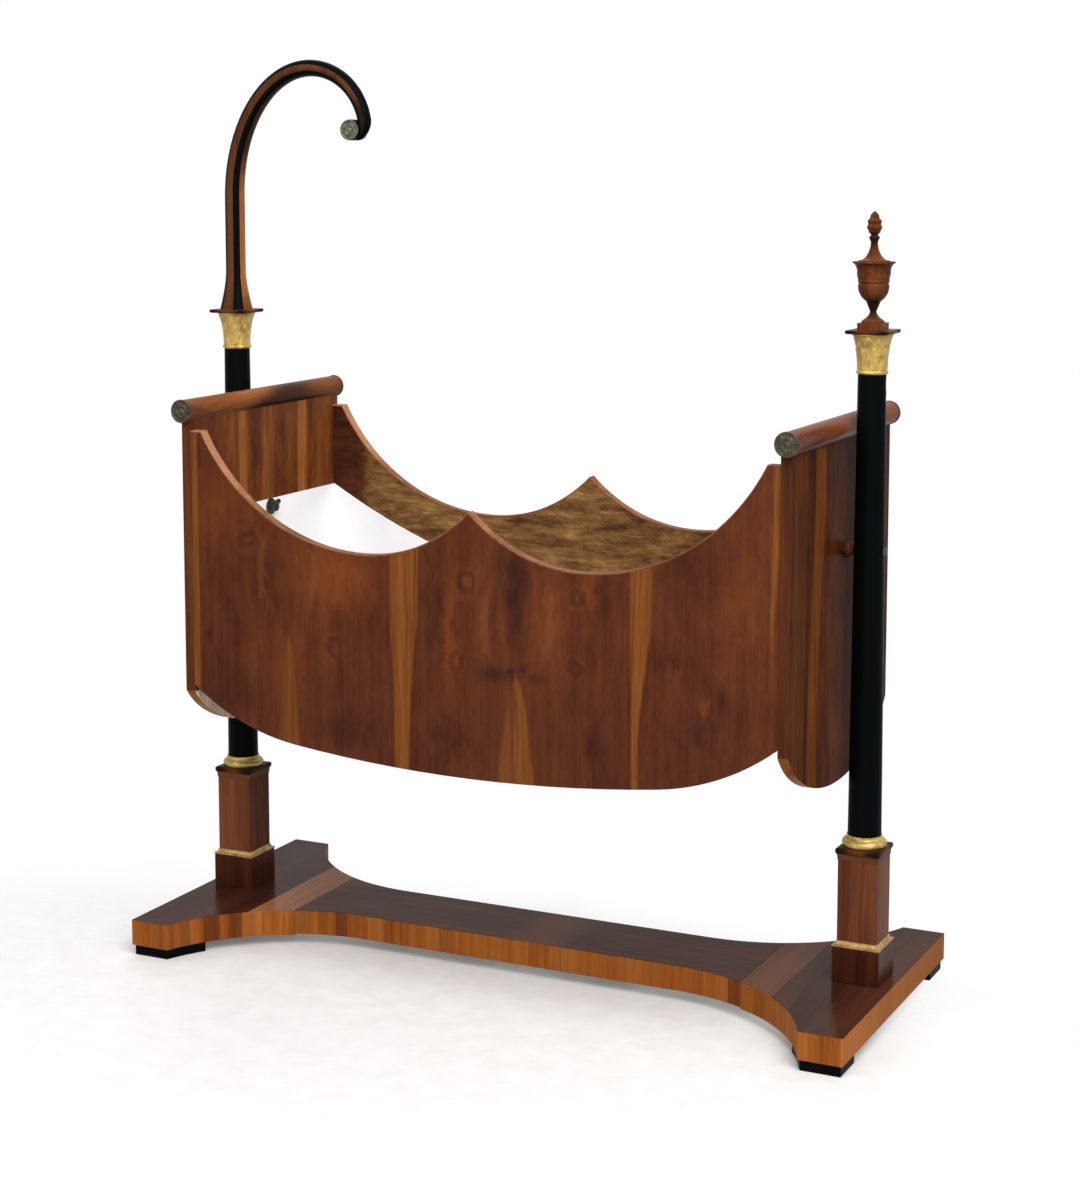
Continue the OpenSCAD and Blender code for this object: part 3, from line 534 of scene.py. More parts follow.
def roll_veneer(name):
    """Cross-cut figure on the head roll: paler towards the front and dark past the middle, with painted light
    and shade, a paler top and a darker underside.
    """
    look = Look(name)
    lines = grain(look, look.z, look.y, look.x, 0.2, 24, 41)
    pale = look.ramp(lines.tone(), [(96, 52, 26), (130, 76, 36), (146, 88, 44)])
    dark = look.ramp(lines.tone(), [(36, 18, 11), (50, 26, 15), (74, 40, 22)])
    low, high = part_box("end_roll_head")
    under = (low[2] + high[2]) / 2 - look.z
    edge = (lines.broad - 0.5) * 0.3 + look.y
    # Painted shade: the dark reaches further forward on the underside, while the top stays pale as a painted
    # highlight
    share = look.step(under * 3.5 + edge, -0.08, 0.03) * look.step(edge, 0.24, 0.1, 0.5, 1)
    colour = look.mix(share, pale, dark)
    colour = look.stain(colour, look.step(lines.pores, 0.52, 0.68, 0, 0.25), (52, 27, 16))
    return polished(look, colour, lines, (0.3, 0.42))


def hook_wood(name):
    """Brown wood of the hook, stained nearly black towards the scroll."""
    look, lines, colour = grained(name, "z", [(58, 30, 17), (84, 47, 28), (104, 62, 38)], 80, seed=43)
    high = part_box("canopy_hook")[1]
    tip = look.step(look.x - high[0], -0.06, -0.03) * look.step(look.z - high[2], -0.055, -0.09, 0, 0.9)
    return polished(look, look.stain(colour, tip, (24, 14, 13)), lines, (0.24, 0.36))


def urn_wood(name):
    """Carved wood of the urn, darker on the neck under the flame, with painted shade on the stem under the
    bowl.
    """
    look, lines, colour = grained(name, "z", [(46, 21, 11), (82, 42, 19), (108, 61, 31)], 80, seed=45)
    bowl_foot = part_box("urn_bowl")[0][2]
    neck_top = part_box("urn_lid")[1][2]
    above = look.z - bowl_foot
    stem = look.step(above, 0.006, 0) * look.step(above, -0.024, -0.016)
    above = look.z - neck_top
    neck = look.step(above, -0.022, -0.014) * look.step(above, 0.006, 0)
    # Painted shade on the stem under the bowl, and a darker neck under the flame
    colour = look.stain(colour, look.largest(stem, neck) * 0.85, (30, 15, 13))
    return polished(look, colour, lines, (0.3, 0.44))


def slab_veneer(name):
    """Veneer of the square caps and abaci, almost black towards the corners."""
    look, lines, colour = grained(name, "x", [(52, 26, 13), (92, 49, 25), (124, 70, 37)], 60, seed=37)
    low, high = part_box("column_foot")
    aside = abs(look.x) - (low[0] + high[0]) / 2
    far = look.distance(aside, look.y)
    colour = look.stain(colour, look.step(far, 0.034, 0.044, 0, 0.94), (17, 12, 10))
    return polished(look, colour, lines, (0.36, 0.5))


def rough_sides(name):
    """Oiled inner boards, grain along the basket, rough and streaked, with dark ends."""
    look = Look(name)
    lines = grain(look, look.z, look.x, look.y, 0.1, 40, 4)
    torn = look.noise(look.stretched(17, 14, 62), detail=7, roughness=0.76)
    tone = torn * 0.6 + lines.tone() * 0.4
    colour = look.ramp(tone, [(56, 35, 21), (88, 58, 33), (116, 81, 45), (140, 103, 60), (164, 128, 82)])
    out = (torn - 0.5) * 0.12 + abs(look.x)
    colour = look.mix(look.step(out, 0.452, 0.47), colour, look.ramp(tone, DARK_GROUND, 0.4, 0.6))
    colour = look.stain(colour, look.step(lines.pores, 0.5, 0.68, 0, 0.5), (62, 42, 27))
    normal = look.bump(torn + lines.fine * 0.5, 0.0006)
    return look.finish(colour, look.along_noise(torn, 0.55, 0.75), normal, specular=0.08)


def black_polish(name):
    """Ebonised wood: black with a soft polish, faint grain and rubbed spots."""
    look = Look(name)
    lines = grain(look, look.x, look.z, look.y, streaks=90)
    rub = look.specks(26, 5, 0.65)
    colour = look.mix(look.step(rub, 0.62, 0.76, 0, 0.4), display(5, 8, 8), display(20, 17, 14))
    colour = look.stain(colour, look.step(lines.streak, 0.5, 0.7, 0, 0.3), (11, 12, 12))
    shine = look.step(rub * 0.4 + lines.streak, 0.4, 0.9, 0.3, 0.46)
    return look.finish(colour, shine, look.bump(lines.fine + rub * 0.4, 0.00004), specular=0.02)


def gilding(name, stops):
    """Old leaf gilding over a reddish ground, dull in the hollows and rubbed on the high spots."""
    look = Look(name)
    blotch = look.specks(85, 5, 0.55)
    speck = look.specks(420, 4, 0.6)
    worn = look.step(speck, 0.62, 0.74) * look.step(blotch, 0.5, 0.66, 0, 0.5)
    colour = look.stain(look.ramp(blotch, stops, 0.32, 0.7), worn, (140, 84, 44))
    shine = look.step(speck * 0.5 + blotch, 0.5, 1, 0.36, 0.54)
    return look.finish(colour, shine, look.bump(speck * 0.3 + blotch, 0.00022, 0.6), metallic=0.45)


def patina(name, dark, light, bright):
    """Metal with a dull patina in uneven blotches."""
    look = Look(name)
    blotch = look.specks(120, 6, 0.65)
    speck = look.specks(900, 3)
    colour = look.ramp(blotch, [dark, light, bright], 0.32, 0.72)
    normal = look.bump(speck * 0.4 + blotch, 0.0003, 0.5)
    return look.finish(colour, look.along_noise(blotch, 0.38, 0.56), normal, metallic=0.4, specular=0.2)


def white_paint(name):
    """White distemper on thin boards: faint brush strokes, a cool shade and small marks."""
    look = Look(name)
    brush = look.noise(look.stretched(14, 14, 160), detail=4, roughness=0.6)
    soft = look.specks(9, 3)
    mark = look.specks(60, 5, 0.7)
    colour = look.ramp(soft, [(243, 247, 251), (249, 251, 253), (252, 253, 253)], 0.35, 0.65)
    colour = look.stain(colour, look.step(mark, 0.68, 0.8, 0, 0.3), (218, 214, 204))
    normal = look.bump(brush, 0.0003, 0.3)
    return look.finish(colour, look.along_noise(brush, 0.6, 0.78), normal, specular=0.25)


END_GROUND = [(60, 28, 14), (84, 43, 20), (106, 58, 25), (128, 74, 32)]
DARK_GROUND = [(44, 20, 12), (64, 31, 17), (80, 40, 21), (104, 54, 26)]
SAPWOOD = [(140, 80, 34), (164, 100, 48), (188, 122, 64)]
DULL_SAPWOOD = [(98, 50, 16), (120, 65, 22), (138, 82, 30)]
# Sapwood stripes of the end panels: y at the top, y at the foot, half width and strength
HEAD_IN_STRIPES = [(-0.085, -0.078, 0.011, 0.75), (0.115, 0.111, 0.014, 0.85), (0, -0.01, 0.018, 0.4),
                   (0.19, 0.18, 0.02, 0.3)]
HEAD_OUT_STRIPES = [(-0.12, -0.14, 0.03, 0.7), (0.13, 0.15, 0.03, 0.7)]
FOOT_IN_STRIPES = [(-0.09, -0.08, 0.014, 0.7), (0.13, 0.12, 0.018, 0.7)]
FOOT_OUT_STRIPES = [(-0.11, -0.138, 0.021, 0.85), (0.12, 0.15, 0.028, 0.7), (-0.2, -0.205, 0.03, 0.42)]

looks = {
    "side_out": side_veneer("side_veneer"),
    "side_in": rough_sides("side_inner_boards"),
    "edge_wood": wood("panel_edges", "x", [(62, 30, 20), (92, 48, 28), (112, 62, 34)], 60, seed=2),
    "upright_edge": wood("upright_edges", "z", [(60, 30, 17), (84, 44, 24), (110, 62, 33)], 60, seed=2.5),
    "low_edge": wood("low_edges", "y", [(112, 62, 30), (150, 90, 46), (182, 118, 66)], 60, seed=2.7),
    # Palest where it climbs to the head end and darker towards the urn
    "banding": wood("pale_banding", "x", [(86, 50, 31), (124, 78, 51), (162, 110, 78)], 90, seed=6,
                    roughness=(0.4, 0.55), stains_and_painted_shade=[("x", -0.4, -0.47, 0.45, (206, 146, 106)),
                                                   ("x", 0, 0.3, 0.55, (80, 45, 29))]),
    "head_in": end_veneer("head_panel_inside", END_GROUND, SAPWOOD, HEAD_IN_STRIPES, 11, bare=True),
    "head_out": end_veneer("head_panel_outside", END_GROUND, SAPWOOD, HEAD_OUT_STRIPES, 13),
    "foot_out": end_veneer("foot_panel_outside", DARK_GROUND, DULL_SAPWOOD, FOOT_OUT_STRIPES, 17,
                           roughness=(0.36, 0.46), specular=0.008),
    "foot_in": end_veneer("foot_panel_inside", END_GROUND, SAPWOOD, FOOT_IN_STRIPES, 19, bare=True),
    "plain": wood("bottom_boards", "x", [(104, 76, 48), (136, 104, 68), (160, 128, 88)], 50, seed=9,
                  roughness=(0.6, 0.8), depth=0.0002, specular=0.25),
    "top": platform_top("platform_top"),
    "rim": platform_edge("platform_edge"),
    "block": wood("plinth_veneer", "z", [(44, 20, 13), (68, 33, 20), (88, 45, 27)], seed=31,
                  roughness=(0.24, 0.36)),
    # The head pedestal's colours are painted lighter than the foot one's, as painted light against the
    # basket's shadow on it
    "pedestal_head": wood("head_pedestal_veneer_painted_light", "z", [(86, 44, 27), (118, 67, 43), (140, 86, 58)], 64,
                          seed=32),
    "pedestal_foot": wood("foot_pedestal_veneer", "z", [(72, 36, 22), (98, 54, 34), (116, 70, 46)], 64,
                          seed=33),
    "pedestal_side": wood("pedestal_side_veneer", "z", [(74, 38, 21), (104, 60, 36), (126, 82, 54)], 64,
                          seed=34),
    "necking": wood("necking_veneer", "x", [(82, 47, 29), (104, 64, 40), (122, 82, 54)], 60, seed=35),
    "slab": slab_veneer("cap_veneer"),
    "roll_head": roll_veneer("roll_veneer_head"),
    "roll_foot": wood("roll_veneer_foot", "y", [(74, 35, 19), (108, 54, 28), (128, 70, 38)], 24, wander=0.16,
                      seed=42, roughness=(0.26, 0.38)),
    "hook": hook_wood("hook_wood"),
    # Golden, darker at the hook's foot, with painted shade round the bend, where the inner side faces down
    "hook_inner": wood("hook_inner_wood", "z", [(124, 74, 38), (172, 112, 62), (202, 144, 86)], 80, seed=44,
                       roughness=(0.24, 0.36), pore_share=0,
                       stains_and_painted_shade=[("z", 1.16, 1.12, 0.8, (86, 44, 27)), ("z", 1.31, 1.41, 0.94, (38, 21, 15))]),
    "carved": urn_wood("carved_wood"),
    "black": black_polish("black_polish"),
    "gilt": gilding("old_gilding", [(151, 116, 49), (176, 143, 71), (188, 160, 89), (198, 175, 113)]),
    "gilt_ring": gilding("ring_gilding", [(146, 116, 54), (174, 146, 78), (190, 166, 98), (208, 188, 124)]),
    "gilt_low": gilding("dull_gilding", [(128, 92, 47), (156, 120, 68), (177, 143, 89), (199, 169, 116)]),
    "bronze": patina("bronze_patina", (36, 33, 26), (68, 62, 50), (94, 88, 72)),
    "bronze_pale": patina("pale_bronze_patina", (50, 49, 39), (94, 92, 74), (128, 124, 102)),
    "iron": patina("dark_iron", (32, 35, 31), (62, 66, 59), (92, 96, 87)),
    "white": white_paint("white_paint"),
}


# Shapes
def link(piece, body, stands_for):
    """Puts a finished piece in the scene, on its body, in place of a CAD node."""
    show(piece)
    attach(piece, body)
    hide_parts(stands_for)


def smooth(piece, angle=32):
    mesh = piece.data
    mesh.polygons.foreach_set("use_smooth", [True] * len(mesh.polygons))
    mesh.set_sharp_from_angle(angle=math.radians(angle))
    mesh.update()


MERGE_DISTANCE = 0.00002
FLAT_ANGLE = math.radians(0.3)
SHARP_ANGLE = math.radians(30)


def softened(node, edge, paint, segments=2):
    """A copy of a CAD piece with rounded edges. paint is a look, or picks one from a face's normal."""
    mesh = nodes[node].data.copy()
    mesh.materials.clear()
    work = bmesh.new()
    work.from_mesh(mesh)
    bmesh.ops.remove_doubles(work, verts=work.verts, dist=MERGE_DISTANCE)
    bmesh.ops.dissolve_limit(work, angle_limit=FLAT_ANGLE, verts=work.verts, edges=work.edges)
    sharp = [e for e in work.edges if len(e.link_faces) == 2 and e.calc_face_angle() > SHARP_ANGLE]
    bmesh.ops.bevel(work, geom=sharp, offset=edge, offset_type="OFFSET", segments=segments, profile=0.6,
                    affect="EDGES", clamp_overlap=True)
    work.normal_update()
    names = []
    for face in work.faces:
        name = paint(face.normal) if callable(paint) else paint
        if name not in names:
            names.append(name)
        face.material_index = names.index(name)
    work.to_mesh(mesh)
    work.free()
    piece = bpy.data.objects.new(node + "_finished", mesh)
    for name in names:
        mesh.materials.append(looks[name])
    smooth(piece)
    modifier = piece.modifiers.new("even_normals", "WEIGHTED_NORMAL")
    modifier.keep_sharp = True
    link(piece, body_of[node], node)


def add_rings(work, rings, columns=None):
    """Skins a row of rings of points and caps both ends. columns gives the material of each strip."""
    skins = [[work.verts.new(point) for point in ring] for ring in rings]
    count = len(skins[0])
    for low, high in zip(skins, skins[1:]):
        for k in range(count):
            n = (k + 1) % count
            face = work.faces.new((low[k], low[n], high[n], high[k]))
            if columns:
                face.material_index = columns(k)
    work.faces.new(list(reversed(skins[0])))
    work.faces.new(skins[-1])


def turned_rings(outline, steps, turn, carve=None):
    """Rings of a turned form about Z, placed by turn. carve(angle, z) adds to the radius."""
    rings = []
    for radius, z in outline:
        ring = []
        for k in range(steps):
            angle = 2 * math.pi * k / steps
            r = radius + (carve(angle, z) if carve else 0)
            ring.append(turn @ Vector((r * math.cos(angle), r * math.sin(angle), z)))
        rings.append(ring)
    return rings


def finished(node, work, look_names, angle=40):
    """The piece in place of one CAD node, from the faces drawn in work."""
    bmesh.ops.recalc_face_normals(work, faces=work.faces)
    name = node + "_finished"
    data = bpy.data.meshes.new(name)
    work.to_mesh(data)
    work.free()
    for look in look_names:
        data.materials.append(looks[look])
    piece = bpy.data.objects.new(name, data)
    smooth(piece, angle)
    link(piece, body_of[node], node)


def turned(node, outline, look, turn, steps=96, carve=None, angle=40):
    work = bmesh.new()
    add_rings(work, turned_rings(outline, steps, turn, carve))
    finished(node, work, [look], angle)


def use_cad(node, look):
    """Keeps a CAD piece as it is and gives it a look."""
    data = nodes[node].data
    data.materials.clear()
    data.materials.append(looks[look])


def corners(node):
    return (Vector(corner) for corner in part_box(node))


def foot_of(node):
    """A move to the middle of a CAD node's foot, its half width and its height."""
    low, high = corners(node)
    move = Matrix.Translation(((low.x + high.x) / 2, (low.y + high.y) / 2, low.z))
    return move, (high.x - low.x) / 2, high.z - low.z


def on_circle(degrees):
    return Vector((math.cos(math.radians(degrees)), math.sin(math.radians(degrees))))


def shares(steps):
    """Even shares from 0 to 1."""
    return [i / steps for i in range(steps + 1)]


def bead(radius, foot, height, bulge, steps=8):
    """Outline points of a half round of the given bulge on a drum of the given radius."""
    turns = [on_circle(180 * s) for s in shares(steps)]
    return [(radius + bulge * turn.y, foot + height * (1 - turn.x) / 2) for turn in turns]


def even(s):
    return s


def curve(start, end, steps, out=even, up=even):
    """Outline points from start to end. out and up turn the share of the way into shares of each axis."""
    (start_r, start_z), (end_r, end_z) = start, end
    return [(start_r + (end_r - start_r) * out(s), start_z + (end_z - start_z) * up(s))
            for s in shares(steps)]


def sine(s):
    return math.sin(s * math.pi / 2)


def cosine_fall(s):
    return 1 - math.cos(s * math.pi / 2)


def swell_shape(value, width):
    """1 at zero, fading past the width."""
    return math.exp(-(value / width) ** 2)


# Stand
def platform_paint(normal):
    if normal.z > 0.5:
        return "top"
    return "rim" if normal.z > -0.5 else "plain"


def finish_platform():
    for end in ENDS:
        softened("base_end_" + end, 0.0016, platform_paint, segments=3)
    softened("base_stretcher", 0.0012, platform_paint, segments=3)
    for node in nodes:
        if node.startswith("foot_"):
            softened(node, 0.0012, "black")


def finish_pedestals():
    for end in ENDS:
        def pedestal_paint(normal, end=end):
            return "pedestal_side" if abs(normal.x) > 0.7 else "pedestal_" + end
        for piece, edge, paint in (("plinth_block_", 0.0014, "block"), ("pedestal_", 0.0014, pedestal_paint),
                                   ("gilt_fillet_", 0.0006, "gilt_low"), ("necking_", 0.0004, "necking"),
                                   ("pedestal_cap_", 0.0008, "slab"), ("abacus_", 0.0006, "slab")):
            softened(piece + end, edge, paint)


# Capital: a bead at the neck, a bell with two tiers of leaves and a lip
LEAVES = 8
NECK_R = 0.0226
NECK_BEAD_H, NECK_BEAD_BULGE = 0.007, 0.0035
BELL_STEPS, BELL_FLARE = 28, 2.6
LIP_H = 0.0025
LEAF_SINK, LEAF_RISE = 0.0006, 0.0013


def leaf_relief(s, angle):
    """Height, 0 to 1, of two tiers of upright leaves at share s of the bell's height."""
    total = 0
    for start, reach, shift in ((0, 0.62, 0), (0.28, 0.98, 0.5)):
        t = (s - start) / (reach - start)
        if not 0 < t < 1:
            continue
        side = (angle * LEAVES / (2 * math.pi) + shift) % 1 - 0.5
        width = 0.44 * math.sqrt(1 - t ** 3)
        inside = max(0, min(1, (width - abs(side)) * 12))
        total = max(total, inside * (0.6 + swell_shape(side, 0.05) * 0.5 + 0.4 * t ** 2))
    return total


def finish_capital(end):
    move, lip_r, height = foot_of("capital_" + end)
    bell_h = height - NECK_BEAD_H - LIP_H
    outline = [(NECK_R - 0.004, 0)] + bead(NECK_R - 0.0006, 0, NECK_BEAD_H, NECK_BEAD_BULGE)
    outline += curve((NECK_R + 0.0007, NECK_BEAD_H), (lip_r - 0.001, height - LIP_H), BELL_STEPS,
                     out=lambda s: s ** BELL_FLARE)
    outline += [(lip_r, height - LIP_H + 0.0006), (lip_r, height - 0.0004), (lip_r - 0.0005, height)]

    def carve(angle, z):
        s = (z - NECK_BEAD_H) / bell_h
        return LEAF_RISE * leaf_relief(s, angle) - LEAF_SINK if 0 < s < 1 else 0
    turned("capital_" + end, outline, "gilt", move, steps=192, carve=carve, angle=60)


# Ring at the foot of a shaft: a half round, a step and a hollow up to the shaft
RING_STEP = 0.0055
RING_FILLET = 0.0015
RING_LIP_R = 0.0287


def finish_ring(end):
    move, outer, height = foot_of("column_ring_" + end)
    bead_r = height * 0.32
    step_r = outer - RING_STEP
    step_z = 2 * bead_r
    cove_z = step_z + RING_FILLET
    outline = [(outer - bead_r, 0)] + bead(outer - bead_r, 0, step_z, bead_r, 14)
    outline.append((step_r, step_z))
    outline += curve((step_r, cove_z), (RING_LIP_R, height - 0.001), 8, sine, cosine_fall)
    outline.append((RING_LIP_R, height))
    turned("column_ring_" + end, outline, "gilt_ring", move)


def finish_boss(end):
    """A ball between two collars, turned about the pivot."""
    node = "turned_boss_" + end
    low, high = corners(node)
    ball_r = (high.z - low.z) / 2
    collar = ball_r * 0.68
    half = (high.x - low.x) / 2
    ball = half - 0.0025
    root = collar - 0.0008
    outline = [(collar - 0.0006, -half), (collar, 0.0006 - half), (collar, -ball - 0.0003)]
    for s in shares(16)[1:-1]:
        round_ball = on_circle(180 * s - 90)
        outline.append((root + (ball_r - root) * round_ball.x, ball * round_ball.y))
    outline += [(collar, ball + 0.0003), (collar, half - 0.0006), (collar - 0.0006, half)]
    turn = Matrix.Translation((low + high) / 2) @ Matrix.Rotation(math.radians(90), 4, "Y")
    turned(node, outline, "block", turn)


def finish_columns():
    for end in ENDS:
        use_cad("column_" + end, "black")
        finish_ring(end)
        finish_capital(end)
        use_cad("pivot_bolt_" + end, "iron")
        softened("wing_nut_" + end, 0.0007, "iron")
        use_cad("pivot_bush_" + end, "iron")
        finish_boss(end)


# Canopy hook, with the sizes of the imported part
HOOK_STEM, HOOK_RISE, HOOK_REACH, HOOK_BEND_R = 0.201, 0.222, 0.158, 0.11
HOOK_R, HOOK_TIP_R, HOOK_FOOT_R, FLARE_H = 0.0176, 0.012, 0.029, 0.066
SCROLL_R, SCROLL_W = 0.018, 0.031
BEND_END, CURL_START, CURL_TURN = 10, 38, 110
CURL_FAR, CURL_NEAR = SCROLL_R + 0.0084, SCROLL_R - 0.003
HOOK_SIDES = 72
# Strips round the hook, in degrees from its inner side
ORANGE_TO, LINE_TO, BROWN_TO = 30, 70, 116
QUIRKS = (31, 69, 291, 329)
QUIRK_WIDTH, QUIRK_DEPTH = 2.6, 0.035


def hook_line(hook_x, foot_z):
    """Places along the hook's middle in the X-Z plane with the rod's radius, and the scroll's centre."""
    top_r = HOOK_TIP_R + (HOOK_R - HOOK_TIP_R) * 0.45
    turn_z = foot_z + HOOK_STEM
    line = []
    for s in shares(15):
        h = FLARE_H * s ** 2
        flare = (HOOK_FOOT_R - HOOK_R) * (1 - h / FLARE_H) ** 1.5
        line.append((Vector((hook_x, foot_z + h)), HOOK_R + flare))
    for s in shares(5)[1:-1]:
        line.append((Vector((hook_x, foot_z + FLARE_H + (HOOK_STEM - FLARE_H) * s)), HOOK_R))
    for s in shares(36):
        rise = on_circle(90 * s)
        place = Vector((hook_x + HOOK_REACH * (1 - rise.x), turn_z + HOOK_RISE * rise.y))
        line.append((place, HOOK_R + (top_r - HOOK_R) * s))
    bend_c = Vector((hook_x + HOOK_REACH, turn_z + HOOK_RISE - HOOK_BEND_R))
    for s in shares(20)[1:]:
        place = bend_c + HOOK_BEND_R * on_circle(90 - (90 - BEND_END) * s)
        line.append((place, top_r + (HOOK_TIP_R - top_r) * s))
    curl_c = bend_c + HOOK_BEND_R * on_circle(BEND_END) - CURL_FAR * on_circle(CURL_START)
    for s in shares(16)[1:]:
        reach = CURL_NEAR + (CURL_FAR - CURL_NEAR) * (1 - s) ** 3
        place = curl_c + reach * on_circle(CURL_START - CURL_TURN * s)
        line.append((place, HOOK_TIP_R * (1 - 0.7 * s ** 1.3)))
    return line, curl_c


def hook_stripe(k):
    """Material of a strip: 0 brown front and back, 1 orange inner side, 2 black lines and outer side."""
    angle = abs((360 * (k + 0.5) / HOOK_SIDES + 180) % 360 - 180)
    if angle > BROWN_TO or ORANGE_TO < angle < LINE_TO:
        return 2
    return 1 if angle < ORANGE_TO else 0


def hook_ring(line, i, y):
    """Points round the rod at one place of its middle line, with a shallow quirk beside each black line."""
    place, radius = line[i]
    run = (line[min(i + 1, len(line) - 1)][0] - line[max(i - 1, 0)][0]).normalized()
    ring = []
    for k in range(HOOK_SIDES):
        degrees = 360 * k / HOOK_SIDES
        deep = sum(swell_shape(degrees - at, QUIRK_WIDTH) for at in QUIRKS)
        out, aside = radius * (1 - QUIRK_DEPTH * deep) * on_circle(degrees)
        ring.append((place.x + out * run.y, y + aside, place.y - out * run.x))
    return ring


def finish_hook():
    place = foot_of("capital_head")[0].translation
    line, curl_c = hook_line(place.x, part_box("abacus_head")[1][2])
    work = bmesh.new()
    add_rings(work, [hook_ring(line, i, place.y) for i in range(len(line))], hook_stripe)
    edge_r, half = SCROLL_R - 0.001, SCROLL_W / 2
    drum = [(edge_r, -half), (SCROLL_R, 0.001 - half), (SCROLL_R, half - 0.001), (edge_r, half)]
    turn = Matrix.Translation((curl_c.x, place.y, curl_c.y)) @ Matrix.Rotation(math.radians(90), 4, "X")
    add_rings(work, turned_rings(drum, 64, turn), lambda k: 2)
    finished("canopy_hook", work, ["hook", "hook_inner", "black"], angle=50)


# Bronze discs: a rounded rim, a groove, a flat field, an inner ring and a button, as shares of the
# radius and of the height
DISC_RIM = 0.13
DISC_FACE = [(0.87, 0.62), (0.8, 0.5), (0.56, 0.55), (0.53, 0.72), (0.46, 0.8), (0.4, 0.72), (0.37, 0.5),
             (0.26, 0.5), (0.22, 0.85), (0.12, 1.00), (0.02, 1.00)]
ROLL_DISC_T = 0.003
HOOK_DISC_T = 0.0025


def disc_outline(radius, height):
    rim = radius * DISC_RIM / 2
    outline = [(radius - 0.0004, 0), (radius, 0.0006), (radius, height * 0.7)]
    for degrees in range(20, 180, 20):
        round_rim = on_circle(degrees)
        outline.append((radius - rim * (1 - round_rim.x), height * (0.7 + 0.3 * round_rim.y)))
    return outline + [(radius * r, height * z) for r, z in DISC_FACE]


def finish_discs(node, look, thick):
    """Two facing discs whose places follow from the CAD node's box."""
    low, high = corners(node)
    middle = (low + high) / 2
    outline = disc_outline((high.z - low.z) / 2, thick)
    work = bmesh.new()
    for side in SIDES.values():
        back_y = (high.y if side > 0 else low.y) - side * thick
        turn = Matrix.Rotation(math.radians(-90 * side), 4, "X")
        add_rings(work, turned_rings(outline, 72, Matrix.Translation((middle.x, back_y, middle.z)) @ turn))
    finished(node, work, [look], angle=50)


# Urn
STALK_R = 0.0056
BOWL_WALL_R, BOWL_SEAT_R, BOWL_SEAT_H, BOWL_RIM_T = 0.0246, 0.0123, 0.0025, 0.003
FLUTES, FLUTE_DEPTH = 9, 0.0009
SWAG_DEPTH, SWAG_WIDTH, SWAG_DROP = 0.0014, 0.0026, 0.011
LID_SET_BACK, LID_EDGE = 0.009, 0.0015
FLAME_TIP_R, FLAME_SWELL, FLAME_DEPTH = 0.0016, 0.34, 0.0022


def finish_bowl():
    """Fluted lower half, a turned line, and a flaring upper half with four swags."""
    move, rim_r, height = foot_of("urn_bowl")
    low_h, line_z = height * 0.42, height * 0.45
    wall_z = line_z + 0.005
    lip_r = rim_r - 0.001
    outline = [(BOWL_SEAT_R - 0.0015, 0)]
    outline += curve((BOWL_SEAT_R, BOWL_SEAT_H), (BOWL_WALL_R, low_h), 24, sine, lambda s: s ** 1.3)
    outline += [(BOWL_WALL_R - 0.0012, line_z), (BOWL_WALL_R - 0.0009, line_z + 0.002),
                (BOWL_WALL_R + 0.0007, line_z + 0.004)]
    flare_r, flare_h = lip_r - BOWL_WALL_R, height - BOWL_RIM_T - wall_z
    for s in shares(20):
        flare = on_circle(180 - 85 * s)
        outline.append((lip_r + flare_r * flare.x, wall_z + flare_h * flare.y))
    outline += [(rim_r, height - BOWL_RIM_T * share) for share in (0.6, 0.3)]
    outline.append((rim_r - 0.0008, height))

    def carve(angle, z):
        if z < low_h:
            return FLUTE_DEPTH * math.sin(math.pi * z / low_h) * (abs(math.sin(FLUTES * angle)) - 0.6)
        if wall_z < z < height - 0.012:
            hang = wall_z + 0.016 - SWAG_DROP * abs(math.sin(2 * angle))
            return SWAG_DEPTH * swell_shape(z - hang, SWAG_WIDTH) * (0.8 + 0.2 * math.cos(40 * angle))
        return 0
    turned("urn_bowl", outline, "carved", move, steps=144, carve=carve, angle=60)


def finish_lid():
    """A hollow ribbed slope up to the stalk, and a small cup under the flame."""
    move, _, height = foot_of("urn_lid")
    rim_r = foot_of("urn_bowl")[1]
    lid_r = rim_r - LID_SET_BACK
    cup_h = height / 3
    neck_z = height - cup_h
    cup_r = STALK_R + 0.0026
    outline = [(lid_r - 0.0004, 0), (lid_r, 0.0005)]
    outline += curve((lid_r, LID_EDGE), (STALK_R, neck_z), 24, sine, cosine_fall)
    for r, share in ((STALK_R, 0.15), (cup_r - 0.0007, 0.45), (cup_r, 0.55), (cup_r, 0.7), (STALK_R, 0.85),
                     (STALK_R, 1)):
        outline.append((r, neck_z + share * cup_h))

    def carve(angle, z):
        rise = z / neck_z
        return 0.0009 * math.cos(8 * angle) * math.sin(math.pi * rise) if 0 < rise < 1 else 0
    turned("urn_lid", outline, "carved", move, carve=carve, angle=60)


def finish_flame():
    """A slim flame with knobs in spiral rows."""
    move, flame_r, height = foot_of("urn_flame")
    swell_z = height * FLAME_SWELL
    outline = curve((STALK_R, 0), (flame_r, swell_z), 12, sine, cosine_fall)
    outline += curve((flame_r, swell_z), (FLAME_TIP_R, height), 28, lambda s: s * s)[1:]

    def carve(angle, z):
        rise = z / height
        if rise <= 0:
            return 0
        knobs = math.cos(3 * angle + 11 * rise) * math.cos(3 * angle - 11 * rise)
        return FLAME_DEPTH * (knobs - 0.35) * math.sin(math.pi * min(rise * 1.02, 1)) ** 0.8
    turned("urn_flame", outline, "carved", move, steps=120, carve=carve, angle=70)


def finish_urn():
    softened("urn_foot", 0.0005, "carved")
    finish_bowl()
    finish_lid()
    finish_flame()


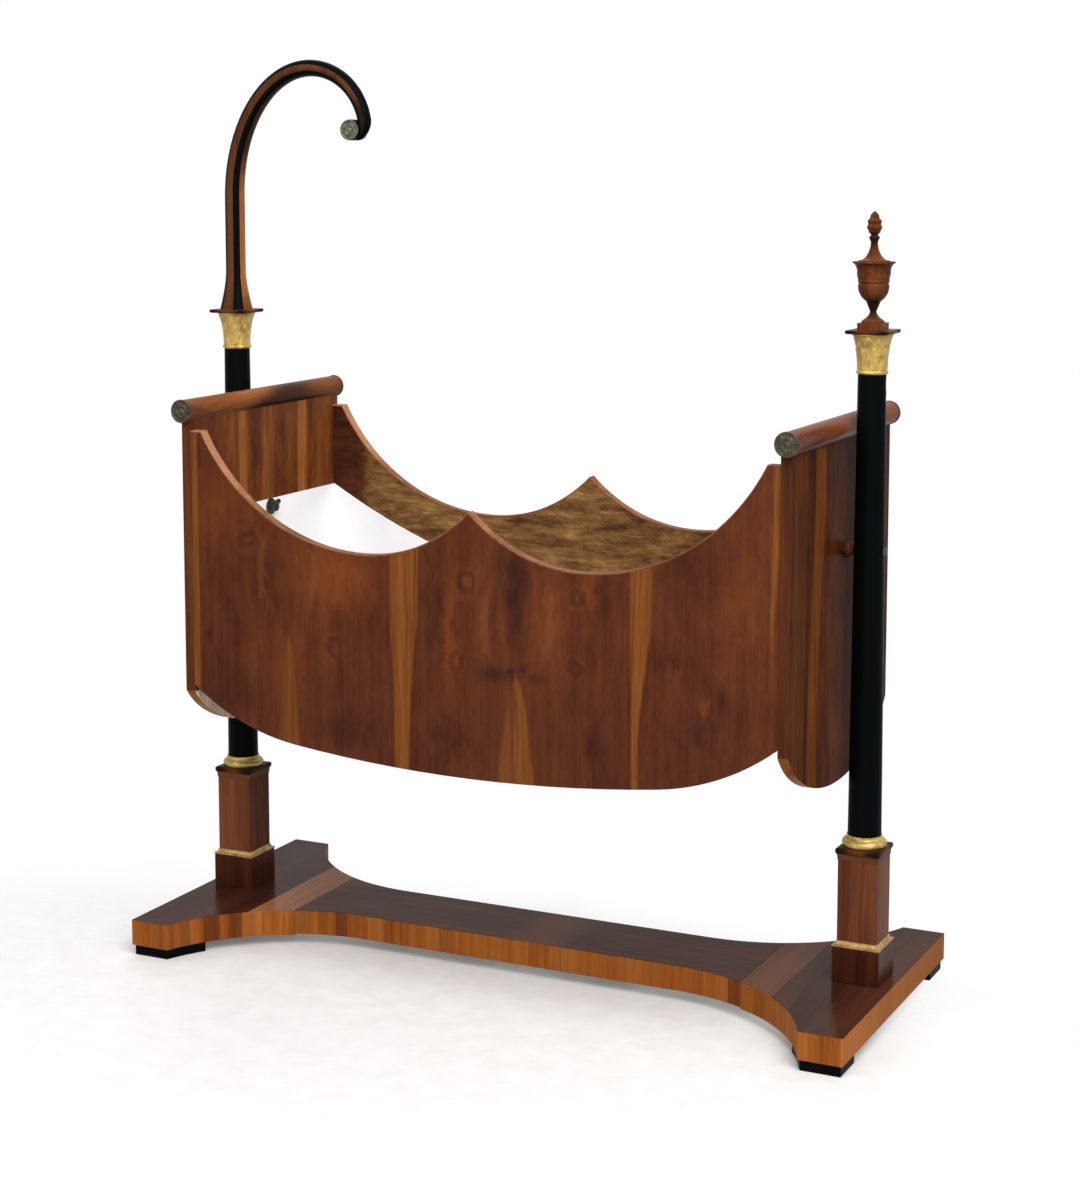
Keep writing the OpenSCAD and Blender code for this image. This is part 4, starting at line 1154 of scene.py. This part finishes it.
# Basket
def finish_basket():
    for side, way in SIDES.items():
        def side_paint(normal, way=way):
            if normal.y * way > 0.5:
                return "side_out"
            return "side_in" if normal.y * way < -0.5 else "edge_wood"
        softened("side_panel_" + side, 0.0008, side_paint)
        softened("side_edging_" + side, 0.0006, "banding")
    for end, way in ENDS.items():
        def end_paint(normal, end=end, way=way):
            if abs(normal.x) > 0.5:
                return end + ("_out" if normal.x * way > 0 else "_in")
            return "low_edge" if normal.z < -0.15 else "upright_edge"
        softened("end_panel_" + end, 0.0012, end_paint)
        softened("end_roll_" + end, 0.0008, "roll_" + end)
        finish_discs("roll_discs_" + end, "bronze", ROLL_DISC_T)
    for place in (*ENDS, *SIDES):
        softened("lining_" + place, 0.0006, "white")
    use_cad("bottom_board", "plain")
    use_cad("bottom_cleats", "plain")


# Studio. Lamps: name, place, size and power
LAMPS = [
    ("key", (-2.2, -3.9, 3), 2.4, 56),
    ("fill", (2.9, -2.7, 3), 2.4, 124),
    ("front", (0.6, -4.6, 0.9), 2.6, 18),
    ("overhead", (1.1, -1.2, 3.4), 2.2, 74),
    ("back", (-1.4, 3, 4.4), 2.2, 34),
]
LAMP_TARGET = Vector((0, 0, 0.7))
FLOOR_HALF = 6
FLOOR_LIFT = 0.02
FADE_START, FADE_END = 0.66, 1.6


def ray_that_sees(owner):
    """1 for the rays by which the camera, gloss and glass see, 0 for those that light the object."""
    path = owner.add("ShaderNodeLightPath").outputs
    mirrored = owner.largest(path["Is Glossy Ray"], path["Is Transmission Ray"])
    return owner.largest(path["Is Camera Ray"], mirrored)


def add_world():
    """Soft light from above and behind, in a room that is seen as plain white."""
    world = bpy.data.worlds.new("studio")
    bpy.context.scene.world = world
    world.use_nodes = True
    room = Nodes(world.node_tree)
    room.tree.nodes.clear()
    direction = room.add("ShaderNodeTexCoord").outputs["Generated"]
    parts = room.add("ShaderNodeSeparateXYZ", [direction]).outputs
    overhead = room.step(parts["Z"], 0.2, 0.9, 0, 0.6)
    behind = room.step(parts["Y"], -0.2, 0.9, 0.14, 0.3)
    lit = room.add("ShaderNodeBackground", {"Strength": overhead + behind}).outputs[0]
    seen = room.add("ShaderNodeBackground", {"Color": (1, 1, 1, 1), "Strength": 1}).outputs[0]
    choose = room.add("ShaderNodeMixShader", (ray_that_sees(room), lit, seen)).outputs[0]
    room.add("ShaderNodeOutputWorld", [choose])


def add_lamps():
    for name, place, size, power in LAMPS:
        data = bpy.data.lights.new(name, "AREA")
        data.size = size
        data.energy = power
        lamp = bpy.data.objects.new(name, data)
        show(lamp)
        lamp.location = place
        lamp.rotation_euler = (LAMP_TARGET - Vector(place)).to_track_quat("-Z", "Y").to_euler()


def add_floor():
    """A pale floor that fades out into the white backdrop."""
    corner_places = [(FLOOR_HALF * x, FLOOR_HALF * y, 0) for x, y in ((-1, -1), (1, -1), (1, 1), (-1, 1))]
    data = bpy.data.meshes.new("floor")
    data.from_pydata(corner_places, [], [(0, 1, 2, 3)])
    floor = bpy.data.objects.new("floor", data)
    show(floor)
    look = Look("floor")
    ragged = look.specks(3, 4)
    away = (ragged - 0.5) * 0.5 + look.distance(look.x, (look.y + 0.55) * 1.7)
    speck = look.specks(22, 5, 0.6)
    look.finish(look.ramp(speck, [(222, 220, 219), (229, 228, 227)], 0.35, 0.65), 0.5, specular=0.3)
    # The floor is seen a little lifted towards white, with the shadow kept
    glow = look.add("ShaderNodeEmission", {"Strength": ray_that_sees(look) * FLOOR_LIFT}).outputs[0]
    solid = look.add("ShaderNodeAddShader", (look.shader.outputs[0], glow)).outputs[0]
    clear = look.add("ShaderNodeBsdfTransparent").outputs[0]
    fade = look.step(away, FADE_START, FADE_END)
    choose = look.add("ShaderNodeMixShader", (fade, solid, clear)).outputs[0]
    look.feed(look.tree.nodes["Material Output"].inputs[0], choose)
    data.materials.append(look.material)


bpy.context.scene.view_settings.view_transform = "Standard"
add_camera()
finish_platform()
finish_pedestals()
finish_columns()
finish_hook()
finish_discs("hook_rosettes", "bronze_pale", HOOK_DISC_T)
finish_urn()
finish_basket()
add_world()
add_lamps()
add_floor()
